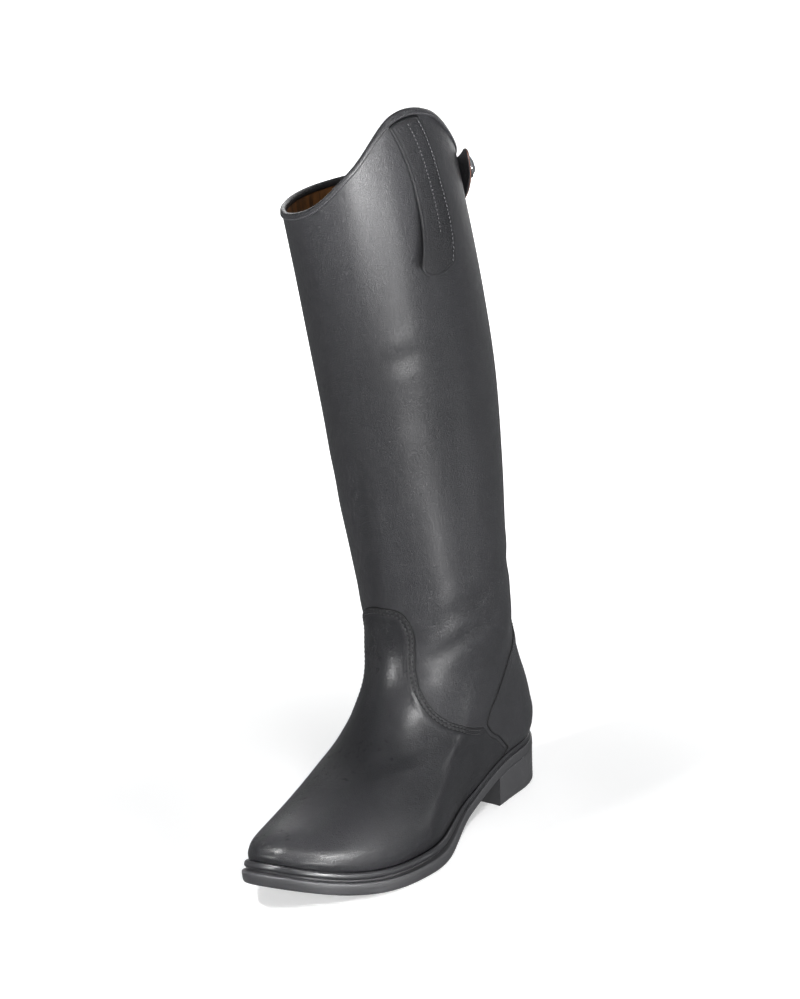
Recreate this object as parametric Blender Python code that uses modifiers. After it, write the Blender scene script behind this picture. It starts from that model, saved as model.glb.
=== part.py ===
"""Tall left riding boot with a zip up the back, as separate solids.

The floor is z = 0, the toe points to -Y, the heel to +Y and the outer side of the
foot to +X. Sizes are in millimetres here and in metres in the built objects.
"""
import math

import bmesh
import bpy
import numpy as np
from mathutils import Matrix, Vector

OBJECT_NAME = "riding_boot_left"
MM = 0.001

# Middle of the footprint, taken as the origin
ORIGIN = (4.5, -15.0, 0.0)

# Sections of the upper, one row per level from the feather edge to above the collar
COLUMNS = ("front_y", "front_z", "back_y", "back_z", "follow", "heel", "waist", "ball",
           "front_cap", "back_cap", "front_n", "back_n", "swing")
SECTIONS = (
    (-158.5, 36.8, 130.0, 36.0, 1.00, 31.5, 32.0, 48.5, 0.36, 0.14, 2.2, 2.10, 1.00),
    (-157.5, 43.0, 132.0, 44.0, 0.97, 34.2, 34.2, 49.8, 0.36, 0.14, 2.2, 2.10, 1.00),
    (-151.0, 51.0, 132.5, 54.0, 0.90, 35.2, 35.8, 49.3, 0.37, 0.14, 2.2, 2.10, 1.00),
    (-137.5, 58.6, 131.0, 63.0, 0.75, 35.2, 37.4, 47.2, 0.39, 0.15, 2.1, 2.10, 0.95),
    (-115.5, 64.4, 128.8, 73.0, 0.55, 35.2, 38.5, 44.2, 0.41, 0.16, 2.1, 2.10, 0.85),
    (-88.8, 70.5, 125.6, 84.0, 0.38, 35.2, 39.0, 42.2, 0.43, 0.18, 2.0, 2.10, 0.70),
    (-61.5, 77.4, 121.8, 96.0, 0.24, 35.4, 39.6, 40.8, 0.45, 0.22, 2.0, 2.10, 0.55),
    (-36.5, 89.7, 118.2, 110.0, 0.12, 36.3, 40.2, 40.2, 0.47, 0.28, 2.0, 2.10, 0.40),
    (-17.5, 107.3, 115.0, 126.0, 0.05, 39.0, 42.4, 41.9, 0.49, 0.36, 2.0, 2.10, 0.25),
    (-7.8, 130.0, 112.0, 142.0, 0.00, 44.5, 46.8, 46.2, 0.50, 0.44, 2.0, 2.05, 0.12),
    (-6.8, 158.0, 110.2, 162.0, 0.00, 48.8, 48.8, 48.8, 0.50, 0.50, 2.0, 2.00, 0.00),
    (-12.0, 196.0, 110.5, 196.0, 0.00, 50.4, 50.4, 50.4, 0.50, 0.50, 2.0, 2.00, 0.00),
    (-20.0, 247.0, 114.3, 247.0, 0.00, 52.8, 52.8, 52.8, 0.50, 0.50, 2.0, 2.00, 0.00),
    (-27.1, 314.0, 114.3, 314.0, 0.00, 55.5, 55.5, 55.5, 0.50, 0.50, 2.0, 2.00, 0.00),
    (-34.3, 380.5, 104.0, 380.5, 0.00, 57.4, 57.4, 57.4, 0.50, 0.50, 2.0, 2.00, 0.00),
    (-43.2, 447.0, 89.6, 447.0, 0.00, 58.2, 58.2, 58.2, 0.50, 0.50, 2.0, 2.00, 0.00),
    (-54.3, 530.0, 71.2, 530.0, 0.00, 58.2, 58.2, 58.2, 0.50, 0.50, 2.0, 2.00, 0.00),
)
BALL_AT = 0.33
WAIST_AT = 0.60
HEEL_AT = 0.86
WAIST_SWING = 3.0
WAIST_SWING_AT = 0.58
WAIST_SWING_SPAN = 0.16
TOE_SWING = 10.5
TOE_SWING_TO = 0.42

# Height of the collar every 30 degrees, from the back by the inner side, front and outer side
COLLAR_STEP = 30.0
COLLAR_HEIGHTS = (453.0, 452.0, 450.0, 448.0, 445.5, 445.0,
                  453.0, 477.0, 507.5, 506.0, 481.0, 462.0)

# Sole heights, and the arch as rows of share, start and end
BALL_EDGE = 14.8
SEAT_EDGE = 36.0
TOE_SPRING = 22.0
SPRING_FROM = -76.0
SPRING_LENGTH = 82.5
ARCH_ROWS = ((0.86, -45.0, 80.0), (0.14, 20.0, 128.0))
WAIST_THICK = 11.0
WAIST_THIN_FROM = -40.0
WAIST_THIN_TO = 30.0
FLAT_TO = -45.0
BREAST_ANGLE = 120.0
BREAST_HOLLOW = 4.0
BREAST_POINTS = (0.75, 0.5, 0.25)

# Mesh lines of the upper
ROUND = 42
FOOT_LEVELS = (0.0, 0.15, 0.75, 1.5, 2.3, 3.1, 3.8, 4.4, 5.0, 5.6, 6.2, 6.8, 7.4, 8.0, 8.6, 9.2, 9.8, 10.4)
SHAFT_STEPS = (0.14, 0.30, 0.48, 0.66, 0.83, 0.955, 1.0)
QUARTER_COLUMNS = 12
COUNTER_COLUMNS = 8
FACING_COLUMNS = 4
STRAP_LINES = 6
OVERLAY_FROM = 0.1
SLIT_HALF = 3.0
SLIT_ROW = FOOT_LEVELS.index(5.0)
FACING_END = len(FOOT_LEVELS) + len(SHAFT_STEPS) - 1

# Walls, gaps and thicknesses
WALL = 2.2
FIT = 0.35
EDGE_DROP = 1.6
VAMP_THICK = 1.2
QUARTER_THICK = 1.0
COUNTER_THICK = 2.0
FACING_THICK = 1.2
STRAP_THICK = 2.0
TAB_THICK = 2.2

# Outline of the vamp and of the heel quarter: level, angle from the front in degrees
VAMP_EDGE = ((0.15, 123.5), (0.68, 124.8), (2.5, 115.4), (4.45, 101.0), (5.93, 76.3), (6.69, 59.6),
             (7.49, 42.4), (8.15, 29.2), (8.76, 21.8), (9.25, 20.8), (9.7, 20.0), (10.0, 15.0),
             (10.2, 5.0))
VAMP_INNER_EDGE = VAMP_EDGE[:6] + ((7.3, 49.0), (7.9, 45.0), (8.6, 44.0), (9.7, 42.0), (10.0, 33.0),
                                   (10.2, 13.0))
VAMP_TOP = (10.0, 10.2)
QUARTER_EDGE = ((0.15, 125.0), (0.68, 126.3), (2.5, 117.0), (4.45, 102.8), (5.4, 103.2), (6.2, 107.0),
                (6.8, 113.0), (7.1, 118.0))
QUARTER_TOP = 7.1
QUARTER_RISE = ((118.0, 0.0), (136.0, 0.5), (147.0, 0.9), (160.0, 1.5))
QUARTER_TILT_FROM = 4.4
COUNTER_EDGE = ((0.15, 22.0), (1.5, 21.5), (3.0, 20.0), (3.8, 17.8), (4.7, 17.0))
COUNTER_TOP = 4.7
FACING_EDGE = 15.0
QUARTER_REAR = COUNTER_EDGE + ((5.05, 17.0), (5.6, FACING_EDGE))

# Closing strap: angle round the boot, height of the strap, stand-off from the upper
STRAP_ROWS = ((126.0, 5.0, 6.4), (127.5, 12.5, 6.1), (130.0, 18.0, 5.8), (135.0, 21.5, 5.2),
              (143.0, 25.5, 4.6), (155.0, 30.5, 4.4), (168.0, 36.0, 4.8), (180.0, 39.0, 5.0),
              (190.0, 38.0, 3.6), (200.0, 35.0, 1.8), (210.0, 32.0, 0.9))
STRAP_TREND = (3, 7, 10)

# Gap between the collar and the strap: angle round the boot, gap
STRAP_BELOW = ((126.0, 3.0), (150.0, 3.5), (180.0, 4.5), (195.0, 6.2), (210.0, 6.2))
SNAP_ANGLE = 137.0
SNAP_DROP = 11.0
SNAP_PROFILE = ((0.0, 0.0), (8.6, 0.0), (8.8, 0.5), (8.4, 1.1),
                (7.4, 1.5), (6.6, 2.6), (4.4, 3.9), (0.0, 4.6))
SNAP_STEPS = 18

# Tab on the outer side
TAB_ANGLE = 67.2
TAB_SLANT = 35.7
TAB_BOW = 38.0
TAB_HALF = 10.8
TAB_LENGTH = 105.0
TAB_BELOW = 5.6
TAB_FLARE = 9.0
TAB_FLARE_FROM = 0.3
TAB_FLARE_TO = 1.05
TAB_FLARE_POWER = 1.2
TAB_STAND = 0.7
TAB_ROUND_FROM = 0.9
TAB_ROUND_END = 0.97
TAB_ROWS = 11
TAB_ROW_POWER = 1.35
TAB_LINES = 6

# Zip
CHAIN_PROFILE = ((-2.6, -1.9), (-2.6, -0.9), (-1.4, -0.7), (-0.8, -0.1),
                 (0.8, -0.1), (1.4, -0.7), (2.6, -0.9), (2.6, -1.9))
CHAIN_LIFT = 0.08
SLIDER_HEIGHT = 394.0
SLIDER_SIZE = (9.0, 2.8, 12.0)
SLIDER_OFF = 2.0
SLIDER_WAIST = 0.62
LUG_SIZE = (2.4, 5.4, 5.6)
LUG_SUNK = 0.6
AXLE_OFF = 7.8
AXLE_HOLE = 1.3
AXLE_STEPS = 20
PULL_WIDTH = 8.0
PULL_LENGTH = 19.0
PULL_WIRE = 0.8
PULL_CORNER = 1.6
PULL_CORNER_STEPS = 4

# Collar binding: offset from the upper's outside, distance below the upper's top edge
BINDING_PROFILE = ((0.35, 3.4), (1.15, 3.2), (1.15, 0.2), (0.5, -1.1), (-1.1, -1.6), (-2.7, -1.1),
                   (-3.35, 0.2), (-3.35, 3.2), (-2.55, 3.2), (-2.55, -0.35), (0.35, -0.35))

# Sole edge: offset from the feather edge, height from the top (mm) or share of the height
WELT_FRONT = 4.0
WELT_REAR = 3.0
WELT_REACH = ((2.2, -1.0, 0.0), (3.5, -0.8, 0.0), (4.1, -0.5, 0.0), (3.8, -0.2, 0.0),
              (2.7, 0.0, 0.9), (1.5, 0.0, 0.9), (0.5, 0.0, 0.0))
OUTSOLE_REACH = ((5.2, -1.0, 0.0), (6.0, -1.0, 0.9), (6.3, -0.5, 0.0), (6.1, 0.0, -2.3),
                 (5.5, 0.0, -1.7), (2.0, 0.0, -1.5), (2.0, 0.0, 0.0))
REAR_REACH = 0.36
REACH_FROM = -50.0
REACH_TO = 40.0
INSOLE_IN = -3.3
INSOLE_THICK = 2.5
INSOLE_LIFT = 0.05
HEEL_REACH = 1.9
HEEL_TAPER = 1.6
RIBS = 6
RIB_DEPTH = 0.7
RIB_FROM = 0.16
RIB_TO = 0.86
RIB_ANGLES = (146.0, 158.0)

# Heel rings below and above the ribs: share of the height, cut
HEEL_FOOT = ((0.0, -0.7), (0.05, 0.0))
HEEL_HEAD = ((0.96, 0.0), (1.0, -0.3))


def smooth(a, b, x):
    """Smooth step of x from 0 at a to 1 at b."""
    q = np.clip((x - a) / (b - a), 0.0, 1.0)
    return q * q * (3.0 - 2.0 * q)


def blend_rows(table, level):
    """Smooth curve through the rows of a table, at fractional row numbers."""
    table = np.asarray(table, float)
    level = np.asarray(level, float)
    last = len(table) - 1
    i = np.clip(np.floor(level).astype(int), 0, last - 1)
    s = (level - i)[..., None]
    b = table[i]
    c = table[i + 1]
    a = np.where((i == 0)[..., None], 2.0 * b - c, table[np.maximum(i - 1, 0)])
    d = np.where((i == last - 1)[..., None], 2.0 * c - b, table[np.minimum(i + 2, last)])
    slope = (c - a) * s
    bend = (2.0 * a - 5.0 * b + 4.0 * c - d) * s**2
    twist = (3.0 * b - a - 3.0 * c + d) * s**3
    return 0.5 * (2.0 * b + slope + bend + twist)


def cap(q, power):
    """Rounded end: 0 at q = 0, 1 from q = 1 on."""
    q = np.clip(q, 0.0, 1.0)
    return np.clip(1.0 - (1.0 - q) ** power, 0.0, None) ** (1.0 / power)


def feather_height(y):
    """Height of the edge where the upper meets the sole."""
    spring = TOE_SPRING * (np.clip(SPRING_FROM - y, 0.0, None) / SPRING_LENGTH) ** 2
    rise = sum(share * smooth(start, end, y) for share, start, end in ARCH_ROWS)
    return BALL_EDGE + spring + (SEAT_EDGE - BALL_EDGE) * rise


def surface(theta, level):
    """Outside of the upper at an angle from the front (outer side positive) and a level."""
    theta, level = np.broadcast_arrays(np.asarray(theta, float), np.asarray(level, float))
    row = dict(zip(COLUMNS, np.moveaxis(blend_rows(SECTIONS, level), -1, 0)))
    edge = dict(zip(COLUMNS, SECTIONS[0]))
    t = (1.0 - np.cos(theta)) / 2.0
    y = row["front_y"] + t * (row["back_y"] - row["front_y"])
    along = (y - edge["front_y"]) / (edge["back_y"] - edge["front_y"])
    chord = edge["front_z"] + along * (edge["back_z"] - edge["front_z"])
    z = row["front_z"] + t * (row["back_z"] - row["front_z"]) + row["follow"] * (feather_height(y) - chord)
    body = row["ball"] + (row["waist"] - row["ball"]) * smooth(BALL_AT, WAIST_AT, t)
    body = body + (row["heel"] - row["waist"]) * smooth(WAIST_AT, HEEL_AT, t)
    width = body * cap(t / row["front_cap"], row["front_n"]) * cap((1.0 - t) / row["back_cap"], row["back_n"])
    centre = WAIST_SWING * np.exp(-((t - WAIST_SWING_AT) / WAIST_SWING_SPAN) ** 2)
    centre = centre - TOE_SWING * smooth(TOE_SWING_TO, 0.0, t)
    x = np.sign(np.sin(theta)) * width + row["swing"] * centre
    return np.stack([x, y, z], -1)


def outward(theta, level):
    """Unit normal of the upper's outside."""
    step = 1e-3
    along = surface(theta + step, level) - surface(theta - step, level)
    up = surface(theta, level + step) - surface(theta, level - step)
    n = np.cross(along, up)
    return n / np.linalg.norm(n, axis=-1, keepdims=True)


def stand(theta, level, offset):
    """Point at an offset from the upper's outside."""
    theta, level, offset = np.broadcast_arrays(*(np.asarray(v, float) for v in (theta, level, offset)))
    return surface(theta, level) + outward(theta, level) * offset[..., None]


def collar_height(theta):
    """Height of the finished top edge round the boot."""
    turns = (np.degrees(theta) + 180.0) / COLLAR_STEP % len(COLLAR_HEIGHTS)
    table = np.array(COLLAR_HEIGHTS[-2:] + COLLAR_HEIGHTS + COLLAR_HEIGHTS[:3])[:, None]
    return blend_rows(table, turns + 2.0)[..., 0]


def level_at(theta, height):
    """Level of the shaft at a height."""
    low = np.full(np.shape(theta), 8.0)
    high = np.full(np.shape(theta), len(SECTIONS) - 1.0)
    for _ in range(40):
        middle = (low + high) / 2.0
        below = surface(theta, middle)[..., 2] < height
        low = np.where(below, middle, low)
        high = np.where(below, high, middle)
    return (low + high) / 2.0


def rear_angle(level, width, side):
    """Angle at a distance from the middle of the back, on the outer (1) or inner (-1) side."""
    level = np.asarray(level, float)
    low = np.full(level.shape, math.radians(100.0))
    high = np.full(level.shape, math.pi)
    for _ in range(40):
        middle = (low + high) / 2.0
        outside = surface(side * middle, level)[..., 0] * side > width
        low = np.where(outside, middle, low)
        high = np.where(outside, high, middle)
    return side * (low + high) / 2.0


def row_level(theta, row):
    """Level of one of the upper's mesh rows at an angle."""
    feet = len(FOOT_LEVELS)
    if row < feet:
        return np.full(np.shape(theta), FOOT_LEVELS[row])
    top = level_at(theta, collar_height(theta) - EDGE_DROP)
    return FOOT_LEVELS[-1] + (top - FOOT_LEVELS[-1]) * SHAFT_STEPS[row - feet]


def grid_faces(rows, columns, closed=False):
    """Faces of a grid of points, its last column joined to its first when closed."""
    faces = []
    for i in range(rows - 1):
        for j in range(columns if closed else columns - 1):
            k = (j + 1) % columns
            faces.append((i * columns + j, i * columns + k, (i + 1) * columns + k, (i + 1) * columns + j))
    return faces


def make_material(name, colour, roughness, metallic=0.0):
    """Principled material of one piece."""
    material = bpy.data.materials.new(name)
    material.use_nodes = True
    shader = material.node_tree.nodes["Principled BSDF"]
    shader.inputs["Base Color"].default_value = (*colour, 1.0)
    shader.inputs["Roughness"].default_value = roughness
    shader.inputs["Metallic"].default_value = metallic
    return material


def make_object(name, points, faces, look, outer=True, rounded=True):
    """Mesh object from points in millimetres, kept in the boot's collection."""
    points = (np.asarray(points, float).reshape(-1, 3) - np.array(ORIGIN)) * MM
    mesh = bpy.data.meshes.new(name)
    mesh.from_pydata(points.tolist(), [], faces)
    work = bmesh.new()
    work.from_mesh(mesh)
    if outer:
        bmesh.ops.recalc_face_normals(work, faces=work.faces)
    for face in work.faces:
        face.smooth = rounded
    work.to_mesh(mesh)
    work.free()
    item = bpy.data.objects.new(name, mesh)
    mesh.materials.append(make_material(name + "_look", *look))
    BOOT.objects.link(item)
    return item


def thicken(item, thickness, side):
    """Wall on an open surface, outward for side 1 and inward for side -1."""
    wall = item.modifiers.new("wall", "SOLIDIFY")
    wall.thickness = thickness * MM
    wall.offset = side
    wall.use_even_offset = True
    wall.use_quality_normals = True
    return item


def patch(name, theta, level, gap, thickness, look):
    """Overlay on the upper: a grid of angles and levels, thickened outward."""
    points = stand(theta, level, gap)
    item = make_object(name, points, grid_faces(*level.shape), look, outer=False)
    return thicken(item, thickness, 1.0)


def build_upper(look):
    """Hollow upper with a slit up its back."""
    share = np.linspace(-1.0, 1.0, ROUND + 1)
    first = share * (math.pi - math.asin(SLIT_HALF / SECTIONS[-2][COLUMNS.index("heel")]))
    count = len(FOOT_LEVELS) + len(SHAFT_STEPS)
    level = np.stack([row_level(first, row) for row in range(count)])
    theta = share * rear_angle(level, SLIT_HALF, 1.0)
    theta = np.where(share < 0.0, -share * rear_angle(level, SLIT_HALF, -1.0), theta)
    columns = ROUND + 1
    faces = grid_faces(count, columns)
    for i in range(SLIT_ROW):
        a = i * columns
        faces.append((a + columns - 1, a, a + columns, a + 2 * columns - 1))
    item = make_object("upper", surface(theta, level), faces, look, outer=False)
    return thicken(item, WALL, -1.0)


def edge_angle(table, level):
    """Angle of an outline given as rows of level and degrees."""
    rows = np.array(table)
    return np.radians(np.interp(level, rows[:, 0], rows[:, 1]))


def clip_cell(cell, low, high, side):
    """Part of a grid cell on the kept side of a border that runs from low to high."""
    (l0, a0), (l1, a1) = low, high
    over = [side * u - (a0 + (a1 - a0) * (l - l0) / (l1 - l0)) for u, l in cell]
    kept = []
    for k, (u, l) in enumerate(cell):
        v, m = cell[(k + 1) % len(cell)]
        here = over[k]
        there = over[(k + 1) % len(cell)]
        if here <= 0.0:
            kept.append((u, l))
        if here * there < 0.0:
            q = here / (here - there)
            kept.append((u + (v - u) * q, l + (m - l) * q))
    return kept


def trim_grid(levels, columns, outer, inner):
    """Points and faces of a grid cut off where a column passes its side's limit at a level."""
    numbers = {}
    faces = []
    outer = list(zip(levels, outer))
    inner = list(zip(levels, inner))
    for k in range(len(levels) - 1):
        low, high = levels[k], levels[k + 1]
        for left, right in zip(columns, columns[1:]):
            cell = [(left, low), (right, low), (right, high), (left, high)]
            cell = clip_cell(cell, outer[k], outer[k + 1], 1.0)
            cell = clip_cell(cell, inner[k], inner[k + 1], -1.0)
            keys = [(round(float(u), 5), round(float(l), 5)) for u, l in cell]
            face = [numbers.setdefault(key, len(numbers)) for key in dict.fromkeys(keys)]
            if len(face) > 2:
                faces.append(tuple(face))
    return np.array(list(numbers)), faces


def build_vamp(look):
    """Foot front with a tongue up the instep, on the upper's own mesh lines."""
    levels = np.array([v for v in FOOT_LEVELS if OVERLAY_FROM < v < VAMP_TOP[0]] + list(VAMP_TOP))
    outer = edge_angle(VAMP_EDGE, levels) / rear_angle(levels, SLIT_HALF, 1.0)
    inner = -edge_angle(VAMP_INNER_EDGE, levels) / rear_angle(levels, SLIT_HALF, -1.0)
    points, faces = trim_grid(levels, np.linspace(-1.0, 1.0, ROUND + 1), outer, inner)
    side = np.where(points[:, 0] < 0.0, -1.0, 1.0)
    outer = rear_angle(points[:, 1], SLIT_HALF, 1.0)
    inner = -rear_angle(points[:, 1], SLIT_HALF, -1.0)
    back = np.where(side > 0.0, outer, inner)
    item = make_object("vamp", stand(points[:, 0] * back, points[:, 1], FIT), faces, look, outer=False)
    return thicken(item, VAMP_THICK, 1.0)


def build_quarter(name, side, look):
    """Rear panel of one side, from the vamp to the zip facing and the counter."""
    rows = np.array([v for v in FOOT_LEVELS if OVERLAY_FROM < v < QUARTER_TOP] + [QUARTER_TOP])
    tilt = smooth(QUARTER_TILT_FROM, QUARTER_TOP, rows)
    rise = np.array(QUARTER_RISE)
    border = np.array(QUARTER_REAR)
    highest = rows + tilt * rise[-1, 1]
    front = edge_angle(QUARTER_EDGE, rows)
    rear = np.abs(rear_angle(highest, np.interp(highest, border[:, 0], border[:, 1]) + FIT, side))
    share = np.linspace(0.0, 1.0, QUARTER_COLUMNS + 1)[None]
    theta = front[:, None] + (rear - front)[:, None] * share
    level = rows[:, None] + tilt[:, None] * np.interp(np.degrees(theta), rise[:, 0], rise[:, 1])
    if side < 0:
        theta = -theta[:, ::-1]
        level = level[:, ::-1]
    return patch(name, theta, level, FIT, QUARTER_THICK, look)


def build_counter(look):
    """Patch across the back of the heel, below the zip."""
    levels = np.array([v for v in FOOT_LEVELS if OVERLAY_FROM < v < COUNTER_TOP] + [COUNTER_TOP])
    rows = np.array(COUNTER_EDGE)
    half = np.interp(levels, rows[:, 0], rows[:, 1])
    share = np.linspace(1.0, -1.0, COUNTER_COLUMNS + 1)
    columns = []
    for s in share:
        width = half * abs(s)
        columns.append(rear_angle(levels, width, 1.0 if s >= 0 else -1.0) % (2.0 * math.pi))
    theta = np.stack(columns, 1)
    level = np.broadcast_to(levels[:, None], theta.shape)
    return patch("heel_counter", theta, level, FIT, COUNTER_THICK, look)


def build_facing(name, side, look):
    """Folded strip along one side of the zip."""
    widths = np.linspace(SLIT_HALF + FIT, FACING_EDGE - FIT, FACING_COLUMNS)
    theta = []
    level = []
    for row in range(SLIT_ROW, FACING_END):
        lv = row_level(np.full(widths.shape, side * math.pi), row)
        theta.append(rear_angle(lv, widths, side))
        level.append(lv)
    theta = np.array(theta)
    level = np.array(level)
    if side > 0:
        theta = theta[:, ::-1]
        level = level[:, ::-1]
    return patch(name, theta, level, FIT, FACING_THICK, look)


def build_binding(look):
    """U-shaped strip over the upper's top edge, open at the zip."""
    share = np.linspace(-1.0, 1.0, ROUND + 1)
    first = share * (math.pi - math.asin(SLIT_HALF / SECTIONS[-2][COLUMNS.index("heel")]))
    top = collar_height(first) - EDGE_DROP
    points = []
    for off, below in BINDING_PROFILE:
        level = level_at(first, top - below)
        points.append(stand(first, level, off))
    points = np.stack(points, 1)
    faces = grid_faces(ROUND + 1, len(BINDING_PROFILE), closed=True)
    loop = len(BINDING_PROFILE)
    faces.append(tuple(range(loop)))
    faces.append(tuple(range(ROUND * loop, ROUND * loop + loop)))
    return make_object("collar_binding", points, faces, look)


def build_chain(look):
    """Zip chain and tape in the slit."""
    back = np.array([math.pi])
    rows = []
    for row in range(SLIT_ROW, FACING_END):
        level = row_level(back, row)
        if row == SLIT_ROW:
            level = level + CHAIN_LIFT
        rows.append(level[0])
    level = np.array(rows)
    base = surface(np.full(level.shape, math.pi), level)
    n = outward(np.full(level.shape, math.pi), level)
    profile = np.array(CHAIN_PROFILE)
    points = base[:, None] + n[:, None] * profile[None, :, 1:]
    points[..., 0] = profile[None, :, 0]
    loop = len(profile)
    faces = grid_faces(len(level), loop, closed=True)
    faces.append(tuple(range(loop)))
    faces.append(tuple(range((len(level) - 1) * loop, len(level) * loop)))
    return make_object("zip_chain", points, faces, look)


def strap_gap(angle):
    """Gap between the collar and the strap at an angle in degrees."""
    rows = np.array(STRAP_BELOW)
    return np.interp(angle, rows[:, 0], rows[:, 1])


def build_strap(look):
    """Closing strap across the top of the zip, with a rounded free end."""
    rows = np.array(STRAP_ROWS)
    angle = np.radians(rows[:, 0])
    theta = (angle + math.pi) % (2.0 * math.pi) - math.pi
    trend = rows[list(STRAP_TREND)]
    lower = np.interp(rows[:, 0], trend[:, 0], trend[:, 1])
    middle = collar_height(theta) - strap_gap(rows[:, 0]) - lower / 2.0
    share = np.linspace(-0.5, 0.5, STRAP_LINES)[:, None]
    height = middle[None] + share * rows[None, :, 1]
    angles = np.broadcast_to(theta[None], height.shape)
    level = level_at(angles, height)
    points = stand(angles, level, np.broadcast_to(rows[None, :, 2], height.shape))
    item = make_object("closing_strap", points, grid_faces(*height.shape), look, outer=False)
    return thicken(item, STRAP_THICK, 1.0)


def strap_point(angle, drop):
    """Point on the strap's outside and the direction it faces."""
    theta = np.array([math.radians(angle)])
    rows = np.array(STRAP_ROWS)
    off = np.interp(angle, rows[:, 0], rows[:, 2]) + STRAP_THICK + FIT
    level = level_at(theta, collar_height(theta) - strap_gap(angle) - drop)
    return stand(theta, level, off)[0], outward(theta, level)[0]


def build_snap(look):
    """Domed snap on the strap's free end, turned from its profile."""
    at, facing = strap_point(SNAP_ANGLE, SNAP_DROP)
    mesh = bpy.data.meshes.new("snap_button")
    points = [(r * MM, 0.0, h * MM) for r, h in SNAP_PROFILE]
    mesh.from_pydata(points, [(i, i + 1) for i in range(len(points) - 1)], [])
    item = bpy.data.objects.new("snap_button", mesh)
    mesh.materials.append(make_material("snap_button_look", *look))
    BOOT.objects.link(item)
    turn = item.modifiers.new("turn", "SCREW")
    turn.axis = "Z"
    turn.steps = SNAP_STEPS
    turn.render_steps = SNAP_STEPS
    turn.use_merge_vertices = True
    turn.merge_threshold = 0.00001
    turn.use_smooth_shade = True
    turn.use_normal_calculate = True
    turned = Vector(facing).to_track_quat("Z", "Y").to_matrix().to_4x4()
    item.matrix_world = Matrix.Translation(Vector((at - np.array(ORIGIN)) * MM)) @ turned
    return item


def build_tab(look):
    """Tab hanging on the outer side, sewn at its top and free below."""
    u = np.linspace(0.0, 1.0, TAB_ROWS)
    u = 1.0 - (1.0 - u) ** TAB_ROW_POWER
    centre = np.radians(TAB_ANGLE + TAB_SLANT * u - TAB_BOW * u**2)
    q = np.clip((u - TAB_ROUND_FROM) / (1.0 - TAB_ROUND_FROM), 0.0, TAB_ROUND_END)
    half = TAB_HALF * np.sqrt(1.0 - q**2)
    share = np.linspace(-1.0, 1.0, TAB_LINES)
    radius = SECTIONS[-2][COLUMNS.index("heel")]
    theta = centre[:, None] + share[None] * (half / radius)[:, None]
    top = collar_height(theta[0]) - TAB_BELOW
    end = collar_height(centre[:1]) - TAB_BELOW - TAB_LENGTH
    height = top[None] + (end - top)[None] * u[:, None]
    theta = theta[::-1]
    level = level_at(theta, height[::-1])
    off = TAB_STAND + TAB_FLARE * smooth(TAB_FLARE_FROM, TAB_FLARE_TO, u) ** TAB_FLARE_POWER
    points = stand(theta, level, np.broadcast_to(off[::-1, None], theta.shape))
    item = make_object("dress_tab", points, grid_faces(*theta.shape), look, outer=False)
    return thicken(item, TAB_THICK, 1.0)


def outline(theta, offset):
    """Plan of the feather edge moved out by an offset, as x and y."""
    step = 1e-3
    here = surface(theta, 0.0)[..., :2]
    along = surface(theta + step, 0.0)[..., :2] - surface(theta - step, 0.0)[..., :2]
    side = np.stack([along[..., 1], -along[..., 0]], -1)
    side = side / np.linalg.norm(side, axis=-1, keepdims=True)
    return here + side * np.asarray(offset)[..., None]


def ring_angles():
    """Angles of the sole's mesh columns, from the back round by the inner side."""
    return np.linspace(-math.pi, math.pi, ROUND + 1)[:-1]


def cap_faces(start, count):
    """Strips across a ring, joining its inner and outer side at the same distance along the foot."""
    half = count // 2
    faces = [(start, start + 1, start + count - 1)]
    for j in range(1, half - 1):
        faces.append((start + j, start + j + 1, start + count - j - 1, start + count - j))
    faces.append((start + half - 1, start + half, start + half + 1))
    return faces


def plate(name, rings, look):
    """Plate from rings of points, bottom ring first."""
    points = np.stack(rings)
    faces = grid_faces(points.shape[0], ROUND, closed=True)
    faces += [tuple(reversed(f)) for f in cap_faces(0, ROUND)]
    faces += cap_faces((points.shape[0] - 1) * ROUND, ROUND)
    return make_object(name, points, faces, look, rounded=False)


def reach_share(y):
    """Share of the forefoot's edge width that is left further back."""
    return 1.0 - (1.0 - REAR_REACH) * smooth(REACH_FROM, REACH_TO, y)


def welt_height(y):
    """Height of the welt along the foot."""
    return WELT_FRONT + (WELT_REAR - WELT_FRONT) * smooth(REACH_FROM, REACH_TO, y)


def sole_bottom(y):
    """Underside of the outsole along the foot."""
    thick = BALL_EDGE + (WAIST_THICK - BALL_EDGE) * smooth(WAIST_THIN_FROM, WAIST_THIN_TO, y)
    flat = np.where((y > SPRING_FROM) & (y < FLAT_TO), 0.0, feather_height(y) - thick)
    return np.clip(flat, 0.0, None)


def edge_ring(reach, share, drop, top, bottom):
    """Ring of a sole edge: reach at the forefoot, share of the height, and a fixed drop."""
    theta = ring_angles()
    y = surface(theta, 0.0)[..., 1]
    plan = outline(theta, reach * reach_share(y))
    high = top(y)
    low = bottom(y)
    z = high + (high - low) * share + drop * reach_share(y)
    return np.concatenate([plan, z[:, None]], 1)


def build_insole(look):
    """Board inside the upper."""
    theta = ring_angles()
    plan = outline(theta, np.full(theta.shape, INSOLE_IN))
    base = feather_height(surface(theta, 0.0)[..., 1]) + INSOLE_LIFT
    low = np.concatenate([plan, base[:, None]], 1)
    high = np.concatenate([plan, base[:, None] + INSOLE_THICK], 1)
    return plate("insole", [low, high], look)


def welt_top(y):
    """Top of the welt, a hair below the upper."""
    return feather_height(y) - FIT


def welt_bottom(y):
    """Underside of the welt."""
    return welt_top(y) - welt_height(y)


def outsole_top(y):
    """Top of the outsole, a hair below the welt."""
    return welt_bottom(y) - FIT


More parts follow.
